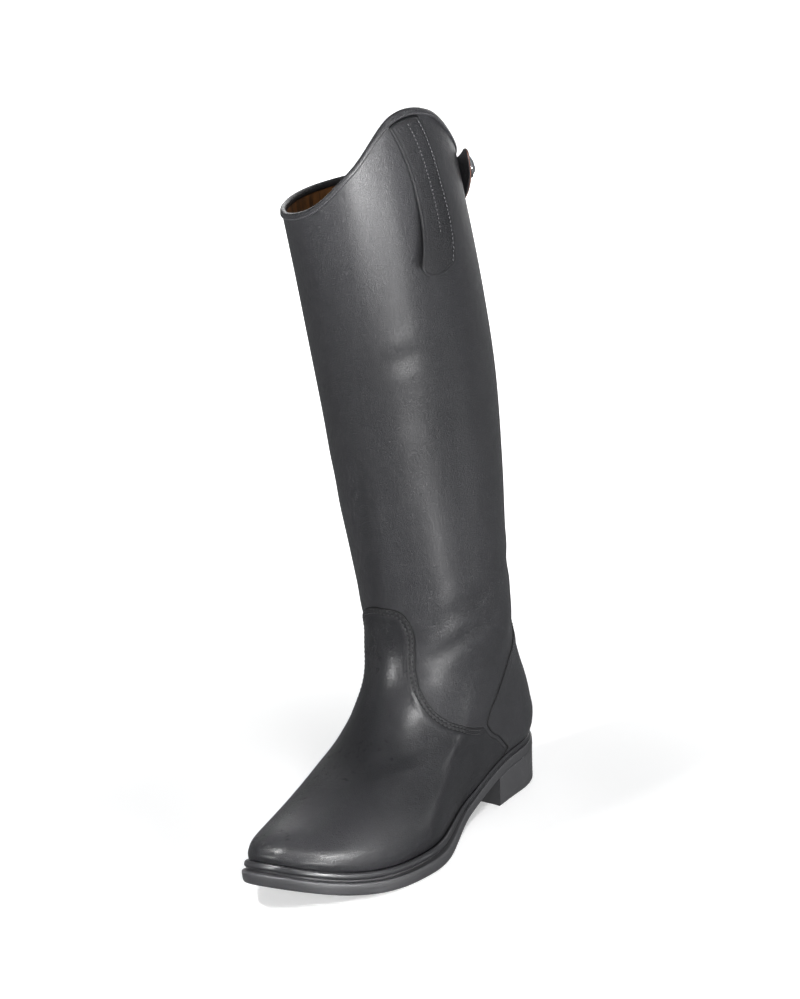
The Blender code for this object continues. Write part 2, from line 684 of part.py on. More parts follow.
def build_welt(look):
    """Midsole plate with a rounded bead for an edge."""
    rings = [edge_ring(reach, share, drop, welt_top, welt_bottom) for reach, share, drop in WELT_REACH]
    return plate("welt", rings, look)


def build_outsole(look):
    """Outsole with a groove and a ledge in its edge."""
    rings = [edge_ring(reach, share, drop, outsole_top, sole_bottom) for reach, share, drop in OUTSOLE_REACH]
    return plate("outsole", rings, look)


def build_heel(look):
    """Block heel with a hollow front and ribs across its back."""
    start = math.radians(BREAST_ANGLE)
    count = round(ROUND * (math.pi - start) / math.pi) + 1
    theta = np.linspace(start, 2.0 * math.pi - start, count)
    rib = smooth(*np.radians(RIB_ANGLES), math.pi - np.abs(theta - math.pi))
    edges = np.linspace(RIB_FROM, RIB_TO, 2 * RIBS + 1)
    rows = [(share, cut * np.ones(count)) for share, cut in HEEL_FOOT]
    rows += [(share, -RIB_DEPTH * (i % 2) * rib) for i, share in enumerate(edges)]
    rows += [(share, cut * np.ones(count)) for share, cut in HEEL_HEAD]
    across = np.array(BREAST_POINTS)
    rings = []
    for share, cut in rows:
        plan = outline(theta, HEEL_REACH - HEEL_TAPER * (1.0 - share) + cut)
        front = plan[-1] + (plan[0] - plan[-1]) * (1.0 - across)[:, None]
        front[:, 1] += BREAST_HOLLOW * (1.0 - (2.0 * across - 1.0) ** 2)
        plan = np.concatenate([plan, front])
        top = sole_bottom(plan[:, 1]) - FIT
        rings.append(np.concatenate([plan, (top * share)[:, None]], 1))
    points = np.stack(rings)
    loop = points.shape[1]
    faces = grid_faces(len(rings), loop, closed=True)
    last = (len(rings) - 1) * loop
    lid = [(k, k + 1, count - 2 - k, count - 1 - k) for k in range(1, count // 2 - 1)]
    lid.append((count // 2 - 1, count // 2, count // 2 + 1))
    lid.append((0, 1, count - 2, count - 1) + tuple(range(count, loop)))
    faces += [tuple(reversed(f)) for f in lid]
    faces += [tuple(v + last for v in f) for f in lid]
    return make_object("heel", points, faces, look, rounded=False)


def zip_frame():
    """Place of the slider on the back of the boot: across, outward, up."""
    back = np.array([math.pi])
    level = level_at(back, np.array([SLIDER_HEIGHT]))
    at = Vector((surface(back, level)[0] * np.array((0.0, 1.0, 1.0)) - np.array(ORIGIN)) * MM)
    facing = Vector(outward(back, level)[0])
    facing.x = 0.0
    facing.normalize()
    across = Vector((1.0, 0.0, 0.0))
    frame = Matrix((across, facing, across.cross(facing))).transposed().to_4x4()
    return Matrix.Translation(at) @ frame


def block(name, size, at, frame, group):
    """Box with its centre at a place in a frame."""
    mesh = bpy.data.meshes.new(name)
    work = bmesh.new()
    bmesh.ops.create_cube(work, size=1.0)
    bmesh.ops.scale(work, vec=Vector(size) * MM, verts=work.verts)
    bmesh.ops.translate(work, vec=Vector(at) * MM, verts=work.verts)
    bmesh.ops.transform(work, matrix=frame, verts=work.verts)
    work.to_mesh(mesh)
    work.free()
    item = bpy.data.objects.new(name, mesh)
    group.objects.link(item)
    return item


def hide_cutter(item):
    """Cutters are shown as wires and never rendered."""
    item.hide_render = True
    item.display_type = "WIRE"


def combine(item, other, how):
    """Boolean of one piece with another."""
    change = item.modifiers.new(how.lower(), "BOOLEAN")
    change.operation = how
    change.object = other
    change.solver = "EXACT"


def build_slider(look):
    """Zip slider with an eye for its pull."""
    frame = zip_frame()
    middle = SLIDER_OFF + SLIDER_SIZE[1] / 2.0
    item = block("zip_slider", SLIDER_SIZE, (0.0, middle, 0.0), frame, BOOT)
    for vertex in item.data.vertices:
        local = frame.inverted() @ vertex.co
        if local.z < 0.0:
            local.x *= SLIDER_WAIST
        vertex.co = frame @ local
    item.data.materials.append(make_material("zip_slider_look", *look))
    root = SLIDER_OFF + SLIDER_SIZE[1] - LUG_SUNK
    lug = block("slider_lug", LUG_SIZE, (0.0, root + LUG_SIZE[1] / 2.0, 0.0), frame, CUTTERS)
    hide_cutter(lug)
    combine(item, lug, "UNION")
    mesh = bpy.data.meshes.new("slider_eye")
    work = bmesh.new()
    bmesh.ops.create_cone(work, cap_ends=True, segments=AXLE_STEPS, radius1=AXLE_HOLE * MM,
                          radius2=AXLE_HOLE * MM, depth=4.0 * LUG_SIZE[0] * MM)
    place = frame @ Matrix.Translation(Vector((0.0, AXLE_OFF, 0.0)) * MM)
    place = place @ Matrix.Rotation(math.pi / 2.0, 4, "Y")
    bmesh.ops.transform(work, matrix=place, verts=work.verts)
    work.to_mesh(mesh)
    work.free()
    eye = bpy.data.objects.new("slider_eye", mesh)
    CUTTERS.objects.link(eye)
    hide_cutter(eye)
    combine(item, eye, "DIFFERENCE")
    return item


def build_pull(look):
    """Square wire loop that hangs from the slider's eye and swings about the eye's axis."""
    axle = zip_frame() @ Vector((0.0, AXLE_OFF * MM, 0.0))
    half = PULL_WIDTH / 2.0
    corners = ((half, 0.0), (half, -PULL_LENGTH), (-half, -PULL_LENGTH), (-half, 0.0))
    inward = ((-1.0, -1.0), (-1.0, 1.0), (1.0, 1.0), (1.0, -1.0))
    turns = (90.0, 0.0, -90.0, -180.0)
    path = []
    for (x, z), (dx, dz), begin in zip(corners, inward, turns):
        for k in range(PULL_CORNER_STEPS):
            a = math.radians(begin - 90.0 * k / (PULL_CORNER_STEPS - 1))
            path.append((x + PULL_CORNER * (dx + math.cos(a)), z + PULL_CORNER * (dz + math.sin(a))))
    curve = bpy.data.curves.new("pull_path", "CURVE")
    curve.dimensions = "3D"
    curve.bevel_depth = PULL_WIRE * MM
    curve.bevel_resolution = 1
    spline = curve.splines.new("POLY")
    spline.points.add(len(path) - 1)
    for point, (x, z) in zip(spline.points, path):
        point.co = (x * MM, 0.0, z * MM, 1.0)
    spline.use_cyclic_u = True
    wire = bpy.data.objects.new("pull_path", curve)
    BOOT.objects.link(wire)
    bpy.context.view_layer.update()
    mesh = bpy.data.meshes.new_from_object(wire.evaluated_get(bpy.context.evaluated_depsgraph_get()))
    bpy.data.objects.remove(wire)
    mesh.name = "zip_pull"
    for face in mesh.polygons:
        face.use_smooth = True
    item = bpy.data.objects.new("zip_pull", mesh)
    mesh.materials.clear()
    mesh.materials.append(make_material("zip_pull_look", *look))
    item.location = axle
    BOOT.objects.link(item)
    return item


LEATHER = ((0.035, 0.035, 0.038), 0.42)
EDGE_LEATHER = ((0.028, 0.028, 0.030), 0.5)
RUBBER = ((0.05, 0.05, 0.053), 0.55)
BOARD = ((0.32, 0.2, 0.11), 0.8)
TAPE = ((0.008, 0.008, 0.009), 0.7)
STEEL = ((0.6, 0.6, 0.62), 0.22, 1.0)

for old in list(bpy.data.objects):
    bpy.data.objects.remove(old)
BOOT = bpy.data.collections.new(OBJECT_NAME)
CUTTERS = bpy.data.collections.new("cutters")
bpy.context.scene.collection.children.link(BOOT)
bpy.context.scene.collection.children.link(CUTTERS)

build_upper(LEATHER)
build_vamp(LEATHER)
build_quarter("heel_quarter_lateral", 1.0, LEATHER)
build_quarter("heel_quarter_medial", -1.0, LEATHER)
build_counter(LEATHER)
build_facing("zip_facing_lateral", 1.0, LEATHER)
build_facing("zip_facing_medial", -1.0, LEATHER)
build_binding(EDGE_LEATHER)
build_chain(TAPE)
build_strap(LEATHER)
build_snap(STEEL)
build_tab(LEATHER)
build_insole(BOARD)
build_welt(RUBBER)
build_outsole(RUBBER)
build_heel(RUBBER)
build_slider(STEEL)
build_pull(STEEL)
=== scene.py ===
"""Looks of a tall left riding boot: leather upper and panels, back zip, strap and rubber sole.

Shapes are worked out in millimetres from one form, in which an angle runs round the leg from
the front (outer side positive) and a level runs up from the feather edge, and are stored in
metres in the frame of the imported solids.
"""

import logging
import math
from dataclasses import dataclass, field
from enum import Enum
from typing import Callable, Sequence

import bpy
import numpy as np
from mathutils import Matrix, Vector


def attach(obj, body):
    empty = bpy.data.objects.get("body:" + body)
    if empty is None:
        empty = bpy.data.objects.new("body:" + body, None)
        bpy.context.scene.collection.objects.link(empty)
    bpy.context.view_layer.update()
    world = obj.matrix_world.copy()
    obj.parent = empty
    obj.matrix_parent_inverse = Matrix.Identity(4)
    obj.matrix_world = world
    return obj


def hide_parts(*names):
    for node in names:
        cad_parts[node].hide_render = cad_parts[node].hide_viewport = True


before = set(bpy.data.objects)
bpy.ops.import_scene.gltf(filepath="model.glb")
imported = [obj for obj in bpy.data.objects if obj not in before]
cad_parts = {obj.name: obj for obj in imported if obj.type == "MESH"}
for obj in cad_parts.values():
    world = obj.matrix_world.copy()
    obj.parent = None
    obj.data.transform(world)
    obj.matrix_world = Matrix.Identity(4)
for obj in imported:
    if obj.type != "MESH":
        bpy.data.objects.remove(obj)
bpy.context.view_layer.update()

LOG = logging.getLogger("riding_boot")
Array = np.ndarray
Colour = tuple[float, float, float]
Seam = tuple[Array, Array, Array]

MM = 0.001
ORIGIN = np.array((4.5, -15.0, 0.0))

# Sections of the upper, one row per level from the feather edge to above the collar
COLUMNS = ("front_y", "front_z", "back_y", "back_z", "follow", "heel", "waist", "ball",
           "front_cap", "back_cap", "front_n", "back_n", "swing")
SECTIONS = (
    (-158.5, 36.8, 130.0, 36.0, 1.00, 31.5, 32.0, 48.5, 0.36, 0.14, 2.2, 2.10, 1.00),
    (-157.5, 43.0, 132.0, 44.0, 0.97, 34.2, 34.2, 49.8, 0.36, 0.14, 2.2, 2.10, 1.00),
    (-151.0, 51.0, 132.5, 54.0, 0.90, 35.2, 35.8, 49.3, 0.37, 0.14, 2.2, 2.10, 1.00),
    (-137.5, 58.6, 131.0, 63.0, 0.75, 35.2, 37.4, 47.2, 0.39, 0.15, 2.1, 2.10, 0.95),
    (-115.5, 64.4, 128.8, 73.0, 0.55, 35.2, 38.5, 44.2, 0.41, 0.16, 2.1, 2.10, 0.85),
    (-88.8, 70.5, 125.6, 84.0, 0.38, 35.2, 39.0, 42.2, 0.43, 0.18, 2.0, 2.10, 0.70),
    (-61.5, 77.4, 121.8, 96.0, 0.24, 35.4, 39.6, 40.8, 0.45, 0.22, 2.0, 2.10, 0.55),
    (-36.5, 89.7, 118.2, 110.0, 0.12, 36.3, 40.2, 40.2, 0.47, 0.28, 2.0, 2.10, 0.40),
    (-17.5, 107.3, 115.0, 126.0, 0.05, 39.0, 42.4, 41.9, 0.49, 0.36, 2.0, 2.10, 0.25),
    (-7.8, 130.0, 112.0, 142.0, 0.00, 44.5, 46.8, 46.2, 0.50, 0.44, 2.0, 2.05, 0.12),
    (-6.8, 158.0, 110.2, 162.0, 0.00, 48.8, 48.8, 48.8, 0.50, 0.50, 2.0, 2.00, 0.00),
    (-12.0, 196.0, 110.5, 196.0, 0.00, 50.4, 50.4, 50.4, 0.50, 0.50, 2.0, 2.00, 0.00),
    (-20.0, 247.0, 114.3, 247.0, 0.00, 52.8, 52.8, 52.8, 0.50, 0.50, 2.0, 2.00, 0.00),
    (-27.1, 314.0, 114.3, 314.0, 0.00, 55.5, 55.5, 55.5, 0.50, 0.50, 2.0, 2.00, 0.00),
    (-34.3, 380.5, 104.0, 380.5, 0.00, 57.4, 57.4, 57.4, 0.50, 0.50, 2.0, 2.00, 0.00),
    (-43.2, 447.0, 89.6, 447.0, 0.00, 58.2, 58.2, 58.2, 0.50, 0.50, 2.0, 2.00, 0.00),
    (-54.3, 530.0, 71.2, 530.0, 0.00, 58.2, 58.2, 58.2, 0.50, 0.50, 2.0, 2.00, 0.00),
)
# Heights of the finished top edge, at equal steps of degrees from the back over the inner side
COLLAR_STEP = 30.0
COLLAR_HEIGHTS = (453.0, 452.0, 450.0, 448.0, 445.5, 445.0,
                  453.0, 477.0, 507.5, 506.0, 481.0, 462.0)
# Rise of the feather edge to the heel: share, start and end along the foot
ARCH_ROWS = ((0.86, -45.0, 80.0), (0.14, 20.0, 128.0))
# Leg, slit, wall and the depth of overlays in the skin
LEG_RADIUS = 58.2
LEG_FROM = 10.4
SLIT_HALF = 3.0
SLIT_LEVEL = 5.0
WALL = 2.2
EDGE_DROP = 1.6
SUNK = -0.15
UNDERSIDE = SUNK - 0.2
SLIT_ANGLE = math.pi - math.asin(SLIT_HALF / LEG_RADIUS)
ZIP_TOP = 0.955

# Soft folds of the leather: angle, height, tilt, half run, half width, depth
FOLDS = (
    (-8.0, 205.0, 84.0, 60.0, 7.0, 0.9),
    (40.0, 344.0, 12.0, 26.0, 7.0, 0.55),
    (62.0, 300.0, -8.0, 34.0, 11.0, 0.22),
    (30.0, 262.0, 14.0, 30.0, 12.0, 0.2),
    (64.0, 160.0, 24.0, 30.0, 8.0, 0.7),
    (58.0, 138.0, 30.0, 26.0, 7.0, 0.8),
    (-60.0, 150.0, -22.0, 30.0, 8.0, 0.8),
    (-70.0, 250.0, 10.0, 36.0, 12.0, 0.4),
    (-120.0, 170.0, 14.0, 30.0, 8.0, 0.7),
    (118.0, 176.0, -14.0, 30.0, 8.0, 0.7),
)
FOLD_RADIUS = 50.0

# Steps of a search by halving, and segments measured at a time
HALVINGS = 34
CHUNK = 32
ACROSS, BACKWARD, UP = np.eye(3)


def smooth(a: float, b: float, x: Array) -> Array:
    """Smooth step of x from 0 at a to 1 at b."""
    q = np.clip((np.asarray(x, float) - a) / (b - a), 0.0, 1.0)
    return q * q * (3.0 - 2.0 * q)


def bell(x: Array, middle: float, width: float) -> Array:
    """Bell of x: 1 at its middle, falling off within its width."""
    return np.exp(-(((x - middle) / width) ** 2))


def blend_rows(table: Sequence, level: Array) -> Array:
    """Smooth curve through the rows of a table.

    Cubic through four rows in turn, with the end rows carried on straight.

    Args:
        table: rows of numbers.
        level: row numbers, which may be fractions.

    Returns:
        One row of numbers for each level.
    """
    rows = np.asarray(table, float)
    level = np.asarray(level, float)
    last = len(rows) - 1
    i = np.clip(np.floor(level).astype(int), 0, last - 1)
    s = (level - i)[..., None]
    b = rows[i]
    c = rows[i + 1]
    a = np.where((i == 0)[..., None], 2.0 * b - c, rows[np.maximum(i - 1, 0)])
    d = np.where((i == last - 1)[..., None], 2.0 * c - b, rows[np.minimum(i + 2, last)])
    bend = (2.0 * a - 5.0 * b + 4.0 * c - d) * s**2
    twist = (3.0 * b - a - 3.0 * c + d) * s**3
    return 0.5 * (2.0 * b + (c - a) * s + bend + twist)


def straight(table: Sequence, at: Array | float) -> Array:
    """Rows of place and value joined by straight lines."""
    return np.interp(at, *np.array(table).T)


def eased(table: Sequence, at: Array, spread: float) -> Array:
    """Rows of place and value joined by straight lines, with their corners rounded.

    Args:
        table: rows of a place and a value.
        at: places to read.
        spread: width of the rounding, in the places' unit.

    Returns:
        Values at the places: the mean of the broken line over a bell of that width.
    """
    rows = np.asarray(table, float)
    shifts = np.linspace(-2.0, 2.0, 17)
    weight = np.exp(-shifts**2)
    places = np.asarray(at, float)[..., None] + shifts * spread
    first = (rows[1, 1] - rows[0, 1]) / (rows[1, 0] - rows[0, 0])
    end = (rows[-1, 1] - rows[-2, 1]) / (rows[-1, 0] - rows[-2, 0])
    value = straight(rows, places)
    value = value + first * np.minimum(places - rows[0, 0], 0.0)
    value = value + end * np.maximum(places - rows[-1, 0], 0.0)
    return (value * weight).sum(-1) / weight.sum()


def halved(low: Array, high: Array, short: Callable[[Array], Array]) -> Array:
    """Values between two bounds where a test turns from true to false, by halving.

    Args:
        low: lower bounds.
        high: upper bounds.
        short: the test, true below the value that is looked for.

    Returns:
        The values.
    """
    for _ in range(HALVINGS):
        middle = (low + high) / 2.0
        below = short(middle)
        low = np.where(below, middle, low)
        high = np.where(below, high, middle)
    return (low + high) / 2.0


def cap(q: Array, power: Array) -> Array:
    """Rounded end: 0 at q = 0, 1 from q = 1 on."""
    q = np.clip(q, 0.0, 1.0)
    return np.clip(1.0 - (1.0 - q) ** power, 0.0, None) ** (1.0 / power)


def roll(distance: Array, radius: float) -> Array:
    """Rounded edge: 0 at the border, 1 from a radius on, as a quarter of a circle."""
    q = np.clip(distance / radius, 0.0, 1.0)
    return np.sqrt(np.clip(1.0 - (1.0 - q) ** 2, 0.0, 1.0))


def unit(v: Array) -> Array:
    """Vectors scaled to length one."""
    return v / np.maximum(np.linalg.norm(v, axis=-1, keepdims=True), 1e-12)


def right_of(ahead: Array) -> Array:
    """Directions in a plane, turned by a quarter to the right."""
    return np.stack([ahead[..., 1], -ahead[..., 0]], -1)


def around(count: int) -> Array:
    """Angles of a full turn, without its end."""
    return np.linspace(0.0, 2.0 * math.pi, count, endpoint=False)


def oblong(count: int, power_x: float, power_y: float) -> tuple[Array, Array]:
    """Closed outline of unit size between an ellipse and an oblong: cosine and sine to a power.

    Args:
        count: points of the outline.
        power_x: power of the cosine, 1 for an ellipse.
        power_y: power of the sine.

    Returns:
        Its two coordinates.
    """
    c, s = np.cos(around(count)), np.sin(around(count))
    return np.sign(c) * np.abs(c) ** power_x, np.sign(s) * np.abs(s) ** power_y


def crowded(count: int, power: float = 1.6) -> Array:
    """Numbers from -1 to 1 that crowd towards both ends: 1 - (1 - s) to a power."""
    s = np.linspace(-1.0, 1.0, count)
    return np.sign(s) * (1.0 - (1.0 - np.abs(s)) ** power)


def packed(low: float, high: float, count: int, power: float) -> Array:
    """Numbers from low to high that crowd towards high."""
    return low + (high - low) * (1.0 - (1.0 - np.linspace(0.0, 1.0, count)) ** power)


def run_along(points: Array) -> Array:
    """Distance of each point from the first one along their line."""
    return np.concatenate([[0.0], np.cumsum(np.linalg.norm(np.diff(points, axis=0), axis=1))])


def read_along(at: Array, run: Array, rows: Array) -> Array:
    """Points or directions read between their places along a line."""
    return np.stack([np.interp(at, run, rows[:, k]) for k in range(3)], 1)


def stacked(*grids: Array) -> Array:
    """Points of several grids in one list."""
    return np.concatenate([grid.reshape(-1, 3) for grid in grids])


def bearing(azimuth: float, elevation: float) -> Vector:
    """Unit vector to an azimuth, 0 in front of the toe, and an elevation, in degrees."""
    a, e = math.radians(azimuth), math.radians(elevation)
    return Vector((math.sin(a) * math.cos(e), -math.cos(a) * math.cos(e), math.sin(e)))


class Side(Enum):
    """Sides of the boot."""

    OUTER = 1.0
    INNER = -1.0


class Slot(Enum):
    """Material slots of the record."""

    LEATHER = "leather"
    EDGE = "edge_leather"
    BOARD = "board"
    RUBBER = "rubber"
    TAPE = "tape"
    CHROME = "chrome"


class Body(Enum):
    """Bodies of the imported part."""

    BOOT = "boot"
    PULL = "pull"


@dataclass(frozen=True)
class BootForm:
    """Outside of the upper as a function of an angle and a level."""

    ball_edge: float = 14.8
    seat_edge: float = 36.0
    toe_spring: float = 22.0
    spring_from: float = -76.0
    spring_length: float = 82.5
    ball_at: float = 0.33
    waist_at: float = 0.60
    heel_at: float = 0.86
    waist_swing: float = 3.0
    waist_swing_at: float = 0.58
    waist_swing_span: float = 0.16
    toe_swing: float = 10.5
    toe_swing_to: float = 0.42
    ridge: float = 0.45
    ridge_at: float = 1.7
    ripple: float = 0.11
    ripple_from: float = 95.0
    ripple_to: float = 180.0
    leg_level: float = 8.0
    rear_from: float = 100.0
    step: float = 1e-3

    def feather_height(self, y: Array) -> Array:
        """Height of the edge where the upper meets the sole: flat, toe spring and arch.

        Args:
            y: places along the foot.

        Returns:
            Heights in millimetres.
        """
        spring = self.toe_spring * (np.clip(self.spring_from - y, 0.0, None) / self.spring_length) ** 2
        rise = sum(share * smooth(start, end, y) for share, start, end in ARCH_ROWS)
        return self.ball_edge + spring + (self.seat_edge - self.ball_edge) * rise

    def surface(self, theta: Array, level: Array) -> Array:
        """Smooth outside without folds.

        A section is a rounded outline between its front and back points: the angle's cosine runs
        along it and the blended widths stand across it.

        Args:
            theta: angles from the front.
            level: levels from the feather edge.

        Returns:
            Points in millimetres.
        """
        theta, level = np.broadcast_arrays(np.asarray(theta, float), np.asarray(level, float))
        row = dict(zip(COLUMNS, np.moveaxis(blend_rows(SECTIONS, level), -1, 0)))
        edge = dict(zip(COLUMNS, SECTIONS[0]))
        t = (1.0 - np.cos(theta)) / 2.0
        y = row["front_y"] + t * (row["back_y"] - row["front_y"])
        along = (y - edge["front_y"]) / (edge["back_y"] - edge["front_y"])
        chord = edge["front_z"] + along * (edge["back_z"] - edge["front_z"])
        z = row["front_z"] + t * (row["back_z"] - row["front_z"])
        z = z + row["follow"] * (self.feather_height(y) - chord)
        body = row["ball"] + (row["waist"] - row["ball"]) * smooth(self.ball_at, self.waist_at, t)
        body = body + (row["heel"] - row["waist"]) * smooth(self.waist_at, self.heel_at, t)
        width = body * cap(t / row["front_cap"], row["front_n"])
        width = width * cap((1.0 - t) / row["back_cap"], row["back_n"])
        centre = self.waist_swing * bell(t, self.waist_swing_at, self.waist_swing_span)
        centre = centre - self.toe_swing * smooth(self.toe_swing_to, 0.0, t)
        x = np.sign(np.sin(theta)) * width + row["swing"] * centre
        return np.stack([x, y, z], -1)

    def slopes(self, theta: Array, level: Array) -> tuple[Array, Array]:
        """Change of the smooth outside, over two short steps.

        Args:
            theta: angles from the front.
            level: levels from the feather edge.

        Returns:
            Change along the angle and along the level.
        """
        along = self.surface(theta + self.step, level) - self.surface(theta - self.step, level)
        up = self.surface(theta, level + self.step) - self.surface(theta, level - self.step)
        return along / (2.0 * self.step), up / (2.0 * self.step)

    def outward(self, theta: Array, level: Array) -> Array:
        """Unit normals of the smooth outside."""
        return unit(np.cross(*self.slopes(theta, level)))

    def relief(self, theta: Array, points: Array) -> Array:
        """Height of the soft folds and of the slight waviness of the leg.

        Each fold is a trough with a low ridge on both sides, fading out along its run. The
        waviness is a product of slow sines that fades out towards the sole.

        Args:
            theta: angles from the front.
            points: points of the smooth outside.

        Returns:
            Heights in millimetres.
        """
        height = np.zeros(np.shape(theta))
        z = points[..., 2]
        for angle, middle, tilt, run, width, depth in FOLDS:
            a = FOLD_RADIUS * (theta - math.radians(angle))
            b = z - middle
            c, s = math.cos(math.radians(tilt)), math.sin(math.radians(tilt))
            across = (b * c - a * s) / width
            fade = bell(a * c + b * s, 0.0, run)
            sides = bell(across, self.ridge_at, 1.0) + bell(across, -self.ridge_at, 1.0)
            height = height + depth * fade * (self.ridge * sides - bell(across, 0.0, 1.0))
        wave = np.sin(z / 31.0 + 2.0 * theta) * np.cos(1.0 + z / 47.0 - 1.5 * theta)
        wave = wave + 0.6 * np.sin(z / 19.0 - 3.0 * theta)
        return height + self.ripple * wave * smooth(self.ripple_from, self.ripple_to, z)

    def skin(self, theta: Array, level: Array, offset: Array | float) -> Array:
        """Points at an offset from the folded outside.

        Args:
            theta: angles from the front.
            level: levels from the feather edge.
            offset: distances outwards.

        Returns:
            Points in millimetres.
        """
        theta, level = np.broadcast_arrays(np.asarray(theta, float), np.asarray(level, float))
        base = self.surface(theta, level)
        height = np.asarray(offset, float) + self.relief(theta, base)
        return base + self.outward(theta, level) * height[..., None]

    def collar_height(self, theta: Array) -> Array:
        """Height of the finished top edge: a smooth curve through heights round the boot.

        Args:
            theta: angles from the front.

        Returns:
            Heights in millimetres.
        """
        turns = (np.degrees(theta) + 180.0) / COLLAR_STEP % len(COLLAR_HEIGHTS)
        table = np.array(COLLAR_HEIGHTS[-2:] + COLLAR_HEIGHTS + COLLAR_HEIGHTS[:3])[:, None]
        return blend_rows(table, turns + 2.0)[..., 0]

    def level_at(self, theta: Array, height: Array) -> Array:
        """Level of the leg at a height.

        Args:
            theta: angles from the front.
            height: heights in millimetres.

        Returns:
            Levels from the feather edge.
        """
        theta, height = np.broadcast_arrays(np.asarray(theta, float), np.asarray(height, float))
        low, high = np.full(theta.shape, self.leg_level), np.full(theta.shape, len(SECTIONS) - 1.0)
        return halved(low, high, lambda level: self.surface(theta, level)[..., 2] < height)

    def rear_angle(self, level: Array, width: Array | float, side: Side) -> Array:
        """Angle at a distance from the middle of the back.

        Args:
            level: levels from the feather edge.
            width: distances to the side.
            side: side of the boot.

        Returns:
            Angles, signed by side.
        """
        level, width = np.broadcast_arrays(np.asarray(level, float), np.asarray(width, float))
        low, high = np.full(level.shape, math.radians(self.rear_from)), np.full(level.shape, math.pi)
        sign = side.value
        return sign * halved(low, high, lambda angle: self.surface(sign * angle, level)[..., 0] * sign > width)

    def top_level(self, theta: Array) -> Array:
        """Level of the upper's own top edge, just below the finished edge."""
        return self.level_at(theta, self.collar_height(theta) - EDGE_DROP)

    def zip_top(self) -> float:
        """Level of the zip's upper end, below the collar at the back."""
        return LEG_FROM + (self.top_level(np.array([math.pi]))[0] - LEG_FROM) * ZIP_TOP

    def plan(self, theta: Array, offset: Array) -> Array:
        """Plan of the feather edge moved out by an offset, as x and y."""
        out = unit(right_of(self.slopes(theta, 0.0)[0]))
        return self.surface(theta, 0.0)[..., :2] + out * np.asarray(offset)[..., None]


FORM = BootForm()


class Sock:
    """Output of a node. Arithmetic on it adds Math nodes."""

    def __init__(self, graph: "Graph", link: bpy.types.NodeSocket) -> None:
        """Keeps the graph and the socket."""
        self.graph = graph
        self.link = link

    def __add__(self, other: "Sock | float") -> "Sock":
        """Sum."""
        return self.graph.math("ADD", self, other)

    def __radd__(self, other: float) -> "Sock":
        """Sum with a number first."""
        return self.graph.math("ADD", other, self)

    def __sub__(self, other: "Sock | float") -> "Sock":
        """Difference."""
        return self.graph.math("SUBTRACT", self, other)

    def __rsub__(self, other: float) -> "Sock":
        """Difference with a number first."""
        return self.graph.math("SUBTRACT", other, self)

    def __mul__(self, other: "Sock | float") -> "Sock":
        """Product."""
        return self.graph.math("MULTIPLY", self, other)

    def __rmul__(self, other: float) -> "Sock":
        """Product with a number first."""
        return self.graph.math("MULTIPLY", other, self)


